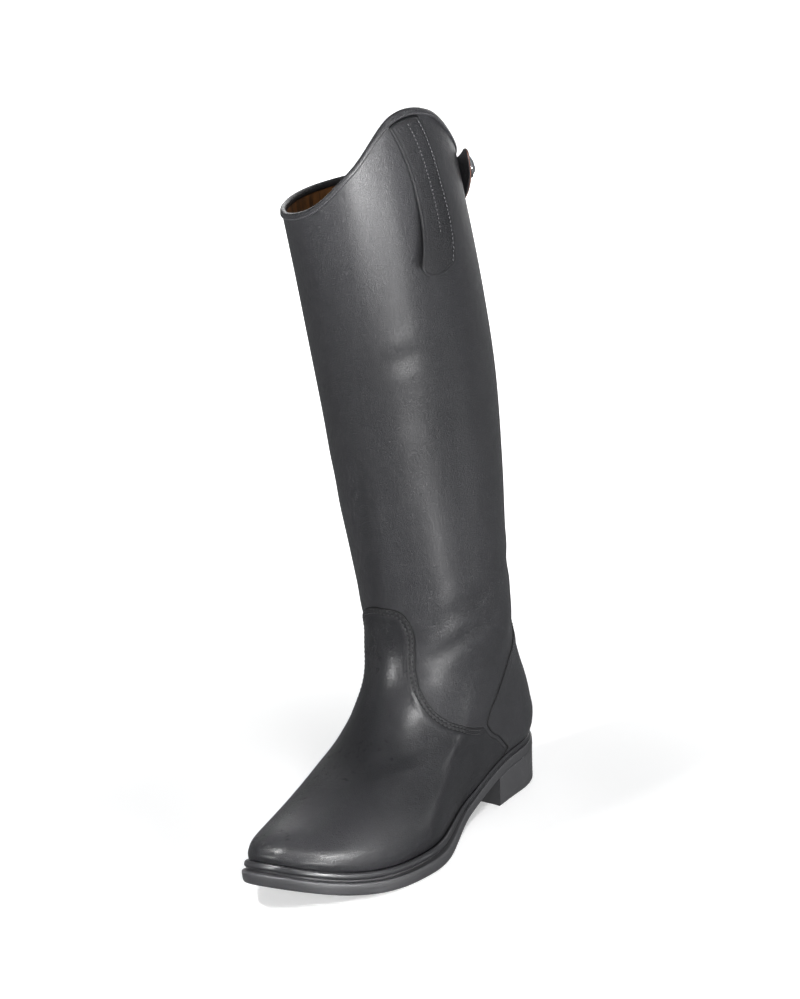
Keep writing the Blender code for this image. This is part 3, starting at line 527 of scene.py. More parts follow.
class Graph:
    """Node graph of one material round its Principled shader."""

    def __init__(self, name: str) -> None:
        """Makes an empty material.

        Args:
            name: name of the material.
        """
        self.material = bpy.data.materials.new(name)
        self.material.use_nodes = True
        self.tree = self.material.node_tree
        self.shader = self.tree.nodes["Principled BSDF"]

    def feed(self, socket: bpy.types.NodeSocket, value: object) -> None:
        """Links a socket, or sets its number or colour.

        Args:
            socket: input of a node.
            value: an output to link, or a number or colour.
        """
        if isinstance(value, Sock):
            self.tree.links.new(value.link, socket)
        else:
            socket.default_value = value

    def node(self, kind: str, settings: dict | None = None, inputs: dict | None = None,
             out: int | str = 0) -> Sock:
        """Adds a node.

        Args:
            kind: type of the node.
            settings: its properties, set first.
            inputs: numbers or links by socket name or number.
            out: name or number of the output to return.

        Returns:
            That output.
        """
        made = self.tree.nodes.new(kind)
        for key, value in (settings or {}).items():
            setattr(made, key, value)
        for key, value in (inputs or {}).items():
            self.feed(made.inputs[key], value)
        return Sock(self, made.outputs[out])

    def math(self, how: str, a: Sock | float, b: Sock | float) -> Sock:
        """Math node of two values."""
        return self.node("ShaderNodeMath", {"operation": how}, {0: a, 1: b})

    def place(self, stretch: Colour = (1.0, 1.0, 1.0)) -> Sock:
        """Object coordinates, stretched along the axes."""
        where = self.node("ShaderNodeTexCoord", out="Object")
        return self.node("ShaderNodeMapping", inputs={"Vector": where, "Scale": stretch})

    def noise(self, where: Sock, scale: float, detail: float = 3.0, rough: float = 0.5) -> Sock:
        """Cloudy noise from 0 to 1."""
        inputs = {"Vector": where, "Scale": scale, "Detail": detail, "Roughness": rough}
        return self.node("ShaderNodeTexNoise", inputs=inputs, out="Fac")

    def cells(self, where: Sock, scale: float) -> Sock:
        """Distances to the edges in a field of cells."""
        inputs = {"Vector": where, "Scale": scale}
        return self.node("ShaderNodeTexVoronoi", {"feature": "DISTANCE_TO_EDGE"}, inputs, "Distance")

    def ramp(self, value: Sock, low: float, high: float) -> Sock:
        """Smooth step of a value from 0 at low to 1 at high."""
        inputs = {"Value": value, "From Min": low, "From Max": high}
        return self.node("ShaderNodeMapRange", {"interpolation_type": "SMOOTHSTEP"}, inputs)

    def attribute(self, name: str) -> Sock:
        """Number stored with the mesh."""
        return self.node("ShaderNodeAttribute", {"attribute_name": name}, out="Fac")

    def mix(self, share: Sock, low: Colour | Sock, high: Colour | Sock) -> Sock:
        """Colour between two colours.

        Args:
            share: share of the second colour.
            low: first colour.
            high: second colour.

        Returns:
            The mixed colour.
        """
        first = low if isinstance(low, Sock) else (*low, 1.0)
        second = high if isinstance(high, Sock) else (*high, 1.0)
        return self.node("ShaderNodeMix", {"data_type": "RGBA"}, {0: share, 6: first, 7: second}, 2)

    def bump(self, height: Sock, strength: float, distance: float) -> Sock:
        """Normal bent by a height."""
        return self.node("ShaderNodeBump", inputs={"Strength": strength, "Distance": distance, "Height": height})

    def finish(self, **sockets: object) -> bpy.types.Material:
        """Sets or links the shader's sockets.

        Args:
            sockets: values by the socket's name, with _ for each space.

        Returns:
            The material.
        """
        for key, value in sockets.items():
            self.feed(self.shader.inputs[key.replace("_", " ")], value)
        return self.material


@dataclass(frozen=True)
class Leather:
    """Dyed leather with a fine grain, a soft polish, paler edges that are partly rubbed wear and partly painted
    highlight, and painted shade and highlight over its folds.
    """

    name: str
    low: Colour = (0.011, 0.011, 0.0125)
    high: Colour = (0.026, 0.026, 0.0285)
    rough: float = 0.41
    spread: float = 0.18
    fleck: float = 0.24
    grain_mm: float = 1.0
    grain_depth: float = 0.9
    coat: float = 0.12

    def make(self) -> bpy.types.Material:
        """Builds the material.

        Returns:
            The material: grain of cells with fine pores, slow clouds of tone and polish, a paler, smoother rim that is
                partly wear and partly painted highlight, painted shade in fold troughs with painted highlight on their
                ridges, and near-black cut edges and stitch channels, the channels as painted shade.
        """
        g = Graph(self.name)
        where = g.place()
        cloud = g.noise(where, 11.0, 3.0)
        mottle = g.noise(where, 170.0, 4.0, 0.6)
        pebble = g.ramp(g.cells(where, 1.0 / (self.grain_mm * MM)), 0.0, 0.16)
        pore = g.noise(where, 2600.0, 2.0)
        rim, fold, cut = (g.attribute(name) for name in ("rim", "fold", "cut"))
        # fold paints shade into the folds' troughs and highlight onto their ridges; rim paints edges paler, partly as
        # wear and partly as a painted highlight along raised edges
        tone = cloud * 0.75 + mottle * 0.55 + rim * 0.5 + fold * 0.25 - 0.3
        polish = self.rough + (cloud - 0.5) * self.spread + (mottle - 0.5) * self.fleck
        polish = polish - rim * 0.10 - pebble * 0.03 + cut * 0.5
        pit = g.noise(where, 520.0, 3.0, 0.6)
        height = pebble * 0.35 + pore * 0.2 + mottle * 1.0 + pit * 0.8
        # cut turns the colour near-black: dark edge paint on cut edges, and painted shade in the stitch channels
        colour = g.mix(cut, g.mix(tone, self.low, self.high), (0.002, 0.002, 0.002))
        return g.finish(Base_Color=colour, Roughness=polish, Specular_IOR_Level=0.36,
                        Coat_Weight=self.coat * (1.0 - cut), Coat_Roughness=0.28,
                        Normal=g.bump(height, self.grain_depth, 0.00035))


@dataclass(frozen=True)
class Suede:
    """Undyed leather or board: matt, fibrous, in two tones."""

    name: str
    low: Colour
    high: Colour
    rough: float = 0.78
    fibre: float = 900.0
    stretch: Colour = (1.0, 1.0, 1.0)

    def make(self) -> bpy.types.Material:
        """Builds the material.

        Returns:
            The material: soft stains, fine fibres across the surface, a dull sheen, and a paler tone where the rim mark
                is set: painted light at the top of the lining, and partly wear, partly painted highlight on raw edges.
        """
        g = Graph(self.name)
        where = g.place()
        stain = g.noise(g.place(self.stretch), 60.0, 4.0, 0.65)
        fibre = g.noise(where, self.fibre, 3.0, 0.65)
        # rim mark: painted light near the lining's top; on raw edges partly wear and partly painted highlight
        rim_wear_and_light = g.attribute("rim")
        tone = g.ramp(stain, 0.3, 0.72) * 0.7 + fibre * 0.35 + rim_wear_and_light * 0.3 - 0.3
        return g.finish(Base_Color=g.mix(tone, self.low, self.high), Roughness=self.rough + (fibre - 0.5) * 0.2,
                        Normal=g.bump(fibre * 0.7 + stain * 0.3, 0.35, 0.0002))


@dataclass(frozen=True)
class Rubber:
    """Moulded sole rubber with a slight bloom, scuffs and a fine mould texture."""

    name: str
    low: Colour = (0.021, 0.021, 0.023)
    high: Colour = (0.042, 0.042, 0.044)
    rough: float = 0.48

    def make(self) -> bpy.types.Material:
        """Builds the material.

        Returns:
            The material: cloudy bloom, short scuffs along the edge, fine mould grit, and a painted highlight where the
                rim mark is set.
        """
        g = Graph(self.name)
        where = g.place()
        bloom = g.noise(where, 30.0, 4.0, 0.6)
        scuff = g.ramp(g.noise(g.place((120.0, 120.0, 900.0)), 1.0, 3.0, 0.6), 0.60, 0.75)
        grit = g.noise(where, 1900.0, 2.0)
        rim = g.attribute("rim")
        # rim is a painted highlight: the bright line along the welt's bead, the outsole's ledge and the heel's top edge
        tone = bloom * 0.8 + scuff * 0.25 + rim * 0.35 - 0.1
        polish = self.rough + (bloom - 0.5) * 0.16 + scuff * 0.12
        return g.finish(Base_Color=g.mix(tone, self.low, self.high), Roughness=polish,
                        Normal=g.bump(grit * 0.6 + bloom * 0.8, 0.22, 0.0002))


@dataclass(frozen=True)
class Metal:
    """Plated metal with faint handling marks."""

    name: str
    low: Colour
    high: Colour
    rough: float

    def make(self) -> bpy.types.Material:
        """Builds the material.

        Returns:
            The material: a little cloudy tarnish and hairline scratches in the polish.
        """
        g = Graph(self.name)
        where = g.place()
        tarnish = g.noise(where, 160.0, 3.0)
        hair = g.noise(g.place((400.0, 4000.0, 900.0)), 1.0, 2.0)
        return g.finish(Base_Color=g.mix(tarnish, self.low, self.high), Metallic=1.0,
                        Roughness=self.rough + (tarnish - 0.5) * 0.08 + (hair - 0.5) * 0.06,
                        Normal=g.bump(hair, 0.05, 0.00005))


@dataclass(frozen=True)
class Thread:
    """Twisted sewing thread."""

    name: str
    low: Colour
    high: Colour

    def make(self) -> bpy.types.Material:
        """Builds the material.

        Returns:
            The material: twist lines across each stitch and a matt, waxed face.
        """
        g = Graph(self.name)
        twist = g.noise(g.place((2400.0, 2400.0, 1500.0)), 1.0, 2.0)
        cloud = g.noise(g.place(), 60.0, 2.0)
        return g.finish(Base_Color=g.mix(twist * 0.6 + cloud * 0.5, self.low, self.high),
                        Roughness=0.55 + (twist - 0.5) * 0.2, Normal=g.bump(twist, 0.5, 0.0001))


@dataclass(frozen=True)
class Tape:
    """Woven zip tape: fine crossed threads."""

    name: str
    low: Colour = (0.004, 0.004, 0.005)
    high: Colour = (0.016, 0.016, 0.018)

    def make(self) -> bpy.types.Material:
        """Builds the material.

        Returns:
            The material: two crossed waves of thread with a little fuzz.
        """
        g = Graph(self.name)
        where = g.place()
        warp, weft = (g.node("ShaderNodeTexWave", {"bands_direction": axis}, {"Vector": where, "Scale": scale}, "Fac")
                      for axis, scale in (("X", 700.0), ("Z", 520.0)))
        fuzz = g.noise(where, 1500.0, 2.0)
        weave = warp * weft
        return g.finish(Base_Color=g.mix(weave * 0.7 + fuzz * 0.4, self.low, self.high),
                        Roughness=0.7 + (fuzz - 0.5) * 0.2, Normal=g.bump(weave, 0.5, 0.0001))


@dataclass(frozen=True)
class Plaster:
    """Pale matt floor of the studio."""

    name: str
    low: Colour = (0.80, 0.80, 0.80)
    high: Colour = (0.84, 0.84, 0.84)

    def make(self) -> bpy.types.Material:
        """Builds the material.

        Returns:
            The material: barely visible clouds on a matt ground that glows more with distance.
        """
        g = Graph(self.name)
        where = g.place()
        cloud = g.noise(where, 3.0, 3.0)
        away = g.node("ShaderNodeVectorMath", {"operation": "LENGTH"}, {0: where}, "Value")
        glow = g.mix(g.ramp(away, 0.12, 0.7), (0.34, 0.34, 0.34), (1.0, 1.0, 1.0))
        return g.finish(Base_Color=g.mix(cloud, self.low, self.high), Roughness=0.75 + cloud * 0.1,
                        Emission_Color=glow, Emission_Strength=1.0)


class Finishes:
    """Every finish of the boot, made once."""

    def __init__(self) -> None:
        """Makes the materials."""
        self.leg = Leather("leg_leather").make()
        # The vamp leather is darker than the leg leather: painted shade over the top of the foot.
        self.vamp = Leather("vamp_leather", low=(0.006, 0.006, 0.007), high=(0.015, 0.015, 0.017), rough=0.32,
                            spread=0.08, fleck=0.08, grain_depth=0.7, coat=0.16).make()
        self.quarter = Leather("quarter_leather", rough=0.37, coat=0.16).make()
        self.trim = Leather("trim_leather", low=(0.014, 0.014, 0.016), high=(0.032, 0.032, 0.035), rough=0.44).make()
        self.binding = Leather("binding_leather", rough=0.36, grain_mm=0.8, coat=0.2).make()
        self.tab = Leather("tab_leather", low=(0.006, 0.006, 0.007), high=(0.016, 0.016, 0.018), rough=0.56,
                           grain_depth=1.0, coat=0.0).make()
        self.lining = Suede("lining_leather", (0.010, 0.0035, 0.0008), (0.24, 0.098, 0.024), rough=0.6,
                            stretch=(3.0, 3.0, 0.8)).make()
        self.raw_edge = Suede("raw_leather", (0.07, 0.020, 0.008), (0.26, 0.085, 0.038), rough=0.7).make()
        self.board = Suede("insole_leather", (0.17, 0.085, 0.03), (0.40, 0.23, 0.095)).make()
        self.welt = Rubber("welt_rubber", low=(0.009, 0.009, 0.010), high=(0.022, 0.022, 0.024), rough=0.32).make()
        self.sole = Rubber("sole_rubber").make()
        self.heel = Rubber("heel_rubber", low=(0.026, 0.026, 0.028), high=(0.050, 0.050, 0.052)).make()
        self.thread = Thread("seam_thread", (0.008, 0.008, 0.009), (0.030, 0.030, 0.032)).make()
        self.pale_thread = Thread("trim_thread", (0.03, 0.03, 0.033), (0.085, 0.085, 0.09)).make()
        self.tape = Tape("zip_tape").make()
        self.coil = Rubber("zip_coil_plastic", low=(0.003, 0.003, 0.003), high=(0.010, 0.010, 0.010), rough=0.4).make()
        self.chrome = Metal("snap_chrome", (0.66, 0.67, 0.70), (0.80, 0.81, 0.84), 0.10).make()
        self.nickel = Metal("zip_nickel", (0.16, 0.16, 0.17), (0.30, 0.30, 0.31), 0.28).make()


def grid_quads(rows: int, columns: int, start: int = 0, wrap: bool = False) -> Array:
    """Quads of a grid of points numbered row by row.

    Args:
        rows: rows of the grid.
        columns: columns of the grid.
        start: number of the first point.
        wrap: whether the last column is joined to the first one.

    Returns:
        Four point numbers for each quad.
    """
    number = start + np.arange(rows * columns).reshape(rows, columns)
    if wrap:
        number = np.concatenate([number, number[:, :1]], 1)
    quads = (number[:-1, :-1], number[:-1, 1:], number[1:, 1:], number[1:, :-1])
    return np.stack(quads, -1).reshape(-1, 4)


def tube_faces(rows: int, columns: int, start: int = 0) -> list[Array]:
    """Sides and end caps of a tube of points numbered ring by ring.

    Args:
        rows: rings of the tube.
        columns: points of each ring.
        start: number of the first point.

    Returns:
        Quads of the sides, and the two caps.
    """
    ring = start + np.arange(columns)
    caps = np.stack([ring[::-1], ring + (rows - 1) * columns])
    return [grid_quads(rows, columns, start, wrap=True), caps]


def shell_faces(rows: int, columns: int, joined: int = 0) -> list[Array]:
    """Faces of a closed wall between two grids of the same shape, the second one inside.

    Args:
        rows: rows of each grid.
        columns: columns of each grid.
        joined: rows whose last column is joined to the first one.

    Returns:
        Outer quads, inner quads and the quads of the rims.
    """
    out = np.arange(rows * columns).reshape(rows, columns)
    ins = out + rows * columns
    seam = np.stack([out[:joined, -1], out[:joined, 0], out[1:joined + 1, 0], out[1:joined + 1, -1]], -1)
    outer = np.concatenate([grid_quads(rows, columns), seam])
    inner = outer[:, ::-1] + rows * columns
    low = np.stack([out[0, 1:], out[0, :-1], ins[0, :-1], ins[0, 1:]], -1)
    high = np.stack([out[-1, :-1], out[-1, 1:], ins[-1, 1:], ins[-1, :-1]], -1)
    left = np.stack([out[joined:-1, 0], out[joined + 1:, 0], ins[joined + 1:, 0], ins[joined:-1, 0]], -1)
    right = np.stack([out[joined + 1:, -1], out[joined:-1, -1], ins[joined:-1, -1], ins[joined + 1:, -1]], -1)
    rims = [low, high, left, right]
    if joined:
        rims.append(np.array([[out[0, 0], out[0, -1], ins[0, -1], ins[0, 0]]]))
        rims.append(np.array([[out[joined, -1], out[joined, 0], ins[joined, 0], ins[joined, -1]]]))
    return [outer, inner, np.concatenate(rims)]


def signed_volume(points: Array, faces: Sequence[Array]) -> float:
    """Measure of the volume inside the faces: the sum of fans from the points' middle.

    Args:
        points: points of a closed mesh.
        faces: groups of faces.

    Returns:
        The measure, negative when the faces point inwards.
    """
    total = 0.0
    centred = points - points.mean(0)
    for group in faces:
        first = centred[group[:, 0]]
        for k in range(1, group.shape[1] - 1):
            fan = np.cross(centred[group[:, k]], centred[group[:, k + 1]])
            total += float((first * fan).sum())
    return total


@dataclass
class Piece:
    """A mesh of the boot before it becomes an object."""

    name: str
    points: Array
    faces: list[Array]
    materials: list[bpy.types.Material]
    slot: Slot
    replaces: tuple[str, ...] = ()
    body: Body = Body.BOOT
    looks: list[int] | None = None
    attributes: dict[str, Array] = field(default_factory=dict)
    sharp: float | None = None
    weld: bool = False
    weld_gap: float = 1e-6

    def build(self) -> bpy.types.Object:
        """Makes the object, turns its faces outwards and hangs it on its body.

        Returns:
            The object, at the origin, with its place in its mesh.
        """
        points = np.asarray(self.points, float).reshape(-1, 3)
        faces = self.faces
        if signed_volume(points, faces) < 0.0:
            faces = [group[:, ::-1] for group in faces]
        mesh = bpy.data.meshes.new(self.name)
        rows = [row for group in faces for row in group.tolist()]
        mesh.from_pydata(((points - ORIGIN) * MM).tolist(), [], rows)
        for material in self.materials:
            mesh.materials.append(material)
        looks = self.looks or [0] * len(faces)
        index = np.concatenate([np.full(len(group), look) for group, look in zip(faces, looks)])
        mesh.polygons.foreach_set("material_index", index.astype(np.int32))
        mesh.polygons.foreach_set("use_smooth", np.ones(len(index), bool))
        for key, values in self.attributes.items():
            layer = mesh.attributes.new(key, "FLOAT", "POINT")
            layer.data.foreach_set("value", np.asarray(values, np.float32).ravel())
        if self.sharp is not None:
            mesh.set_sharp_from_angle(angle=math.radians(self.sharp))
        mesh.update()
        item = bpy.data.objects.new(self.name, mesh)
        bpy.context.scene.collection.objects.link(item)
        if self.weld:
            join = item.modifiers.new("weld", "WELD")
            join.merge_threshold = self.weld_gap
        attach(item, self.body.value)
        if self.replaces:
            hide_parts(*self.replaces)
        LOG.info("%s: %d points, %d faces", self.name, len(points), len(index))
        return item


def edge_distance(points: Array, borders: Sequence[Array]) -> Array:
    """Distance of each point to the nearest of several broken lines.

    Each point is dropped on every segment, a few dozen segments at a time.

    Args:
        points: points of a surface.
        borders: lines of points.

    Returns:
        Distances in the shape of the points.
    """
    flat = points.reshape(-1, 3)
    start = np.concatenate([line[:-1] for line in borders])
    run = np.concatenate([line[1:] - line[:-1] for line in borders])
    keep = np.linalg.norm(run, axis=1) > 1e-9
    start, run = start[keep], run[keep]
    best = np.full(len(flat), np.inf)
    for k in range(0, len(start), CHUNK):
        away = flat[:, None] - start[None, k:k + CHUNK]
        step = run[None, k:k + CHUNK]
        q = np.clip((away * step).sum(-1) / (step * step).sum(-1), 0.0, 1.0)
        gap = away - q[..., None] * step
        best = np.minimum(best, np.sqrt((gap * gap).sum(-1)).min(1))
    return best.reshape(points.shape[:-1])


@dataclass
class Trail:
    """A line or a grid on the skin, given by angles and levels."""

    theta: Array
    level: Array

    def points(self, offset: Array | float = 0.0) -> Array:
        """Points at an offset from the skin."""
        return FORM.skin(self.theta, self.level, offset)

    def moved(self, sideways: float) -> "Trail":
        """The line moved across the skin, to the left of its direction when seen from outside.

        The step across is split into steps of angle and level by the skin's two slopes.

        Args:
            sideways: distance in millimetres.

        Returns:
            The moved line.
        """
        a, b = FORM.slopes(self.theta, self.level)
        ahead = unit(np.gradient(FORM.surface(self.theta, self.level), axis=0))
        across = np.cross(FORM.outward(self.theta, self.level), ahead) * sideways
        aa, ab, bb = (a * a).sum(-1), (a * b).sum(-1), (b * b).sum(-1)
        pa, pb = (a * across).sum(-1), (b * across).sum(-1)
        size = aa * bb - ab * ab
        return Trail(self.theta + (pa * bb - pb * ab) / size, self.level + (pb * aa - pa * ab) / size)

    def spaced(self, step: float) -> "Trail":
        """The line cut at equal distances.

        Args:
            step: distance in millimetres.

        Returns:
            The middles of the cut lengths.
        """
        run = run_along(self.points())
        count = max(2, int(run[-1] / step))
        at = np.linspace(0.5, count - 0.5, count) / count * run[-1]
        return Trail(np.interp(at, run, self.theta), np.interp(at, run, self.level))


STITCH_STATIONS = np.array((-1.0, -0.8, -0.35, 0.35, 0.8, 1.0))
STITCH_GIRTH = np.array((0.3, 0.8, 1.0, 1.0, 0.8, 0.3))
STITCH_SIDES = 6
STITCH_PROUD = 0.35
STITCH_SINK = 1.1


def stitch_mesh(rows: Sequence[Seam], length: float, girth: float) -> tuple[Array, list[Array]]:
    """Many short stitches as one mesh.

    A stitch is a ring carried along its direction, thick in the middle, with its ends sunk.

    Args:
        rows: middles, directions and normals of each seam.
        length: length of a stitch.
        girth: radius of the thread.

    Returns:
        Points and faces.
    """
    middle, ahead, up = (np.concatenate(part)[:, None, None] for part in zip(*rows))
    up = unit(up - ahead * (up * ahead).sum(-1, keepdims=True))
    turn = around(STITCH_SIDES)[:, None]
    station = STITCH_STATIONS[:, None, None]
    ring = np.cos(turn) * np.cross(up, ahead) + np.sin(turn) * up
    sink = (STITCH_PROUD - STITCH_SINK * station**4) * girth * up
    points = middle + station * length / 2.0 * ahead + ring * girth * STITCH_GIRTH[:, None, None] + sink
    first = (np.arange(len(middle)) * STITCH_SIDES * len(STITCH_STATIONS))[:, None, None]
    faces = tube_faces(len(STITCH_STATIONS), STITCH_SIDES)
    return points.reshape(-1, 3), [(group + first).reshape(-1, group.shape[1]) for group in faces]


@dataclass
class Sewing:
    """Seams of one panel, sewn as one mesh of stitches."""

    name: str
    length: float
    girth: float
    rows: list[Seam] = field(default_factory=list)

    def place(self, middle: Array, facing: Array) -> None:
        """Adds a seam with a stitch at each point."""
        self.rows.append((middle, unit(np.gradient(middle, axis=0)), facing))

    def add(self, trail: Trail, offset: float, step: float) -> None:
        """Adds a seam along a line on the skin."""
        cut = trail.spaced(step)
        self.place(cut.points(offset), FORM.outward(cut.theta, cut.level))

    def build(self, look: bpy.types.Material, slot: Slot = Slot.LEATHER) -> bpy.types.Object:
        """Makes the stitches."""
        points, faces = stitch_mesh(self.rows, self.length, self.girth)
        return Piece(self.name, points, faces, [look], slot).build()


def build_panel(name: str, node: str, at: Trail, rise: Array, look: bpy.types.Material,
                **marks: Array) -> bpy.types.Object:
    """Panel on the skin: a grid raised by its own heights over a slightly sunk underside.

    Args:
        name: name of the piece.
        node: solid that it replaces.
        at: angles and levels of its grid.
        rise: heights of its outside over the skin.
        look: its leather.
        marks: numbers for the outside's points, by attribute.

    Returns:
        The panel.
    """
    points = stacked(at.points(rise), at.points(UNDERSIDE))
    attributes = {key: np.concatenate([mark.ravel(), np.zeros(mark.size)]) for key, mark in marks.items()}
    return Piece(name, points, shell_faces(*at.theta.shape), [look], Slot.LEATHER, (node,),
                 attributes=attributes).build()


@dataclass
class Upper:
    """Hollow leg and foot of leather with a tan lining and a slit for the zip."""

    looks: Finishes
    columns: int = 201
    foot_rows: int = 112
    leg_rows: int = 116
    slit_steps: int = 641
    # depth below the collar over which the lining is painted lighter, as light falling into the boot's mouth
    lining_light_depth: float = 60.0

    def lines(self) -> tuple[Array, Array]:
        """Grid of the upper from one edge of the slit round to the other.

        Returns:
            Angles and levels, in rows from the sole to the collar.
        """
        share = np.linspace(-1.0, 1.0, self.columns)
        first = share * SLIT_ANGLE
        low = np.linspace(0.0, LEG_FROM, self.foot_rows)[:, None] + 0.0 * first
        q = np.linspace(0.0, 1.0, self.leg_rows + 1)[1:, None]
        level = np.concatenate([low, LEG_FROM + (FORM.top_level(first) - LEG_FROM) * q])
        steps = np.linspace(0.0, len(SECTIONS) - 1.0, self.slit_steps)
        outer = np.interp(level, steps, FORM.rear_angle(steps, SLIT_HALF, Side.OUTER))
        inner = np.interp(level, steps, -FORM.rear_angle(steps, SLIT_HALF, Side.INNER))
        return share * np.where(share >= 0.0, outer, inner), level

    def build(self) -> list[bpy.types.Object]:
        """Makes the wall: the folded skin outside, the lining inside, rims at collar, sole and slit.

        Returns:
            The upper.
        """
        at = Trail(*self.lines())
        outer, inner = at.points(), at.points(-WALL)
        joined = int(np.searchsorted(at.level[:, 0], SLIT_LEVEL))
        # fold carries the folds' relief to the leg leather, which paints shade into the troughs and highlight onto the
        # ridges
        fold = np.clip(FORM.relief(at.theta, FORM.surface(at.theta, at.level)), -1.0, 1.0).ravel()
        # The lining's rim mark is painted light: lighter towards the collar, where light falls in, and shaded deeper
        # down.
        lining_top_light = smooth(self.lining_light_depth, 0.0, FORM.collar_height(at.theta) - outer[..., 2]).ravel()
        attributes = {"fold": np.concatenate([fold, 0.0 * fold]), "rim": np.concatenate([0.0 * lining_top_light, lining_top_light])}
        return [Piece("upper_skin", stacked(outer, inner), shell_faces(*at.theta.shape, joined=joined),
                      [self.looks.leg, self.looks.lining], Slot.LEATHER, ("upper",), looks=[0, 1, 0],
                      attributes=attributes).build()]


# Outline of the vamp and of the heel quarter: level, angle from the front in degrees
VAMP_SIDE = ((0.15, 123.5), (0.68, 124.8), (2.5, 115.4), (4.45, 101.0), (5.93, 76.3), (6.69, 59.6),
             (7.49, 42.4), (8.15, 29.2), (8.76, 22.0), (9.25, 20.8), (9.8, 20.5), (10.6, 20.5))
VAMP_INNER_SIDE = VAMP_SIDE[:6] + ((7.3, 49.0), (7.9, 45.0), (8.6, 44.0), (10.6, 44.0))
QUARTER_FRONT = ((0.15, 125.0), (0.68, 126.3), (2.5, 117.0), (4.45, 102.8), (5.4, 103.2), (6.2, 107.0),
                 (6.8, 113.0), (7.1, 118.0))
# Rise of the quarter's rows towards the zip: angle in degrees, levels
QUARTER_RISE = ((118.0, 0.0), (136.0, 0.5), (147.0, 0.9), (160.0, 1.5))
# Half width of the counter patch, and of the quarter's rear edge above it: level, millimetres
COUNTER_HALF = ((0.15, 22.0), (1.5, 21.5), (3.0, 20.0), (3.8, 17.8), (4.7, 17.0))
QUARTER_REAR = COUNTER_HALF + ((5.05, 17.0), (5.6, 15.0), (9.0, 15.0))


@dataclass
class Vamp:
    """Foot front with a tongue up the instep and a double row of stitches along its edge."""

    looks: Finishes
    rows: int = 170
    columns: int = 151
    low: float = 0.12
    top: float = 10.22
    round_from: float = 9.25
    round_power: float = 2.6
    thick: float = 1.25
    thin: float = 0.55
    edge: float = 0.9
    seam_rows: tuple[float, ...] = (1.7, 4.3)
    seam_from: float = 4.7
    groove: float = 0.28
    groove_half: float = 0.55
    swell: float = 0.25

    def limit(self, level: Array, side: Side) -> Array:
        """Angle of the vamp's edge: the eased outline, closed round at the tongue's top.

        Args:
            level: levels from the feather edge.
            side: side of the boot.

        Returns:
            Angles, signed by side.
        """
        q = np.clip((level - self.round_from) / (self.top - self.round_from), 0.0, 1.0)
        end = np.clip(1.0 - q**self.round_power, 0.0, 1.0) ** (1.0 / self.round_power)
        outline = VAMP_SIDE if side is Side.OUTER else VAMP_INNER_SIDE
        return side.value * np.radians(eased(outline, level, 0.12)) * end

    def border(self, count: int) -> Trail:
        """Edge of the vamp from the outer sole edge over the tongue to the inner sole edge.

        Args:
            count: points of each side.

        Returns:
            The edge.
        """
        level = packed(self.low, self.top, count, 2.2)
        level[-1] = self.top
        theta = np.concatenate([self.limit(level, Side.OUTER), self.limit(level, Side.INNER)[::-1]])
        return Trail(theta, np.concatenate([level, level[::-1]]))

    def build(self) -> list[bpy.types.Object]:
        """Makes the panel with a rolled edge and shallow seam channels, and its stitches.

        Returns:
            The panel and its stitches.
        """
        level = packed(self.low, self.top, self.rows, 1.35)[:, None]
        share = crowded(self.columns)[None]
        limit = np.where(share >= 0.0, self.limit(level, Side.OUTER), self.limit(level, Side.INNER))
        at = Trail(np.abs(share) * limit, level)
        away = edge_distance(at.points(), [self.border(420).points()])
        seam = smooth(self.seam_from - 0.6, self.seam_from + 0.4, level)
        rise = SUNK + (self.thin + (self.thick - self.thin) * seam - SUNK) * roll(away, self.edge)
        rise = rise + self.swell * seam * bell(away, 7.5, 2.4)
        # cut: dark edge paint along the vamp's edge
        cut = bell(away, 0.0, 0.75)
        sewing = Sewing("vamp_stitches", 2.0, 0.42)
        border = self.border(900)
        sewn = border.level > self.seam_from
        line = Trail(border.theta[sewn], border.level[sewn])
        for row in self.seam_rows:
            channel = seam * bell(away, row, self.groove_half)
            rise = rise - self.groove * channel
            # The channels' darkening is painted shade in the stitch grooves.
            cut = np.maximum(cut, 0.8 * channel)
            sewing.add(line.moved(row), self.thick - 0.12, 3.3)
        # rim: paler sewn edge, partly wear and partly painted highlight on the rolled edge
        rim = 0.6 * bell(away, 0.0, 1.6) * seam
        panel = build_panel("vamp_panel", "vamp", at, rise, self.looks.vamp, rim=rim, cut=cut)
        return [panel, sewing.build(self.looks.thread)]


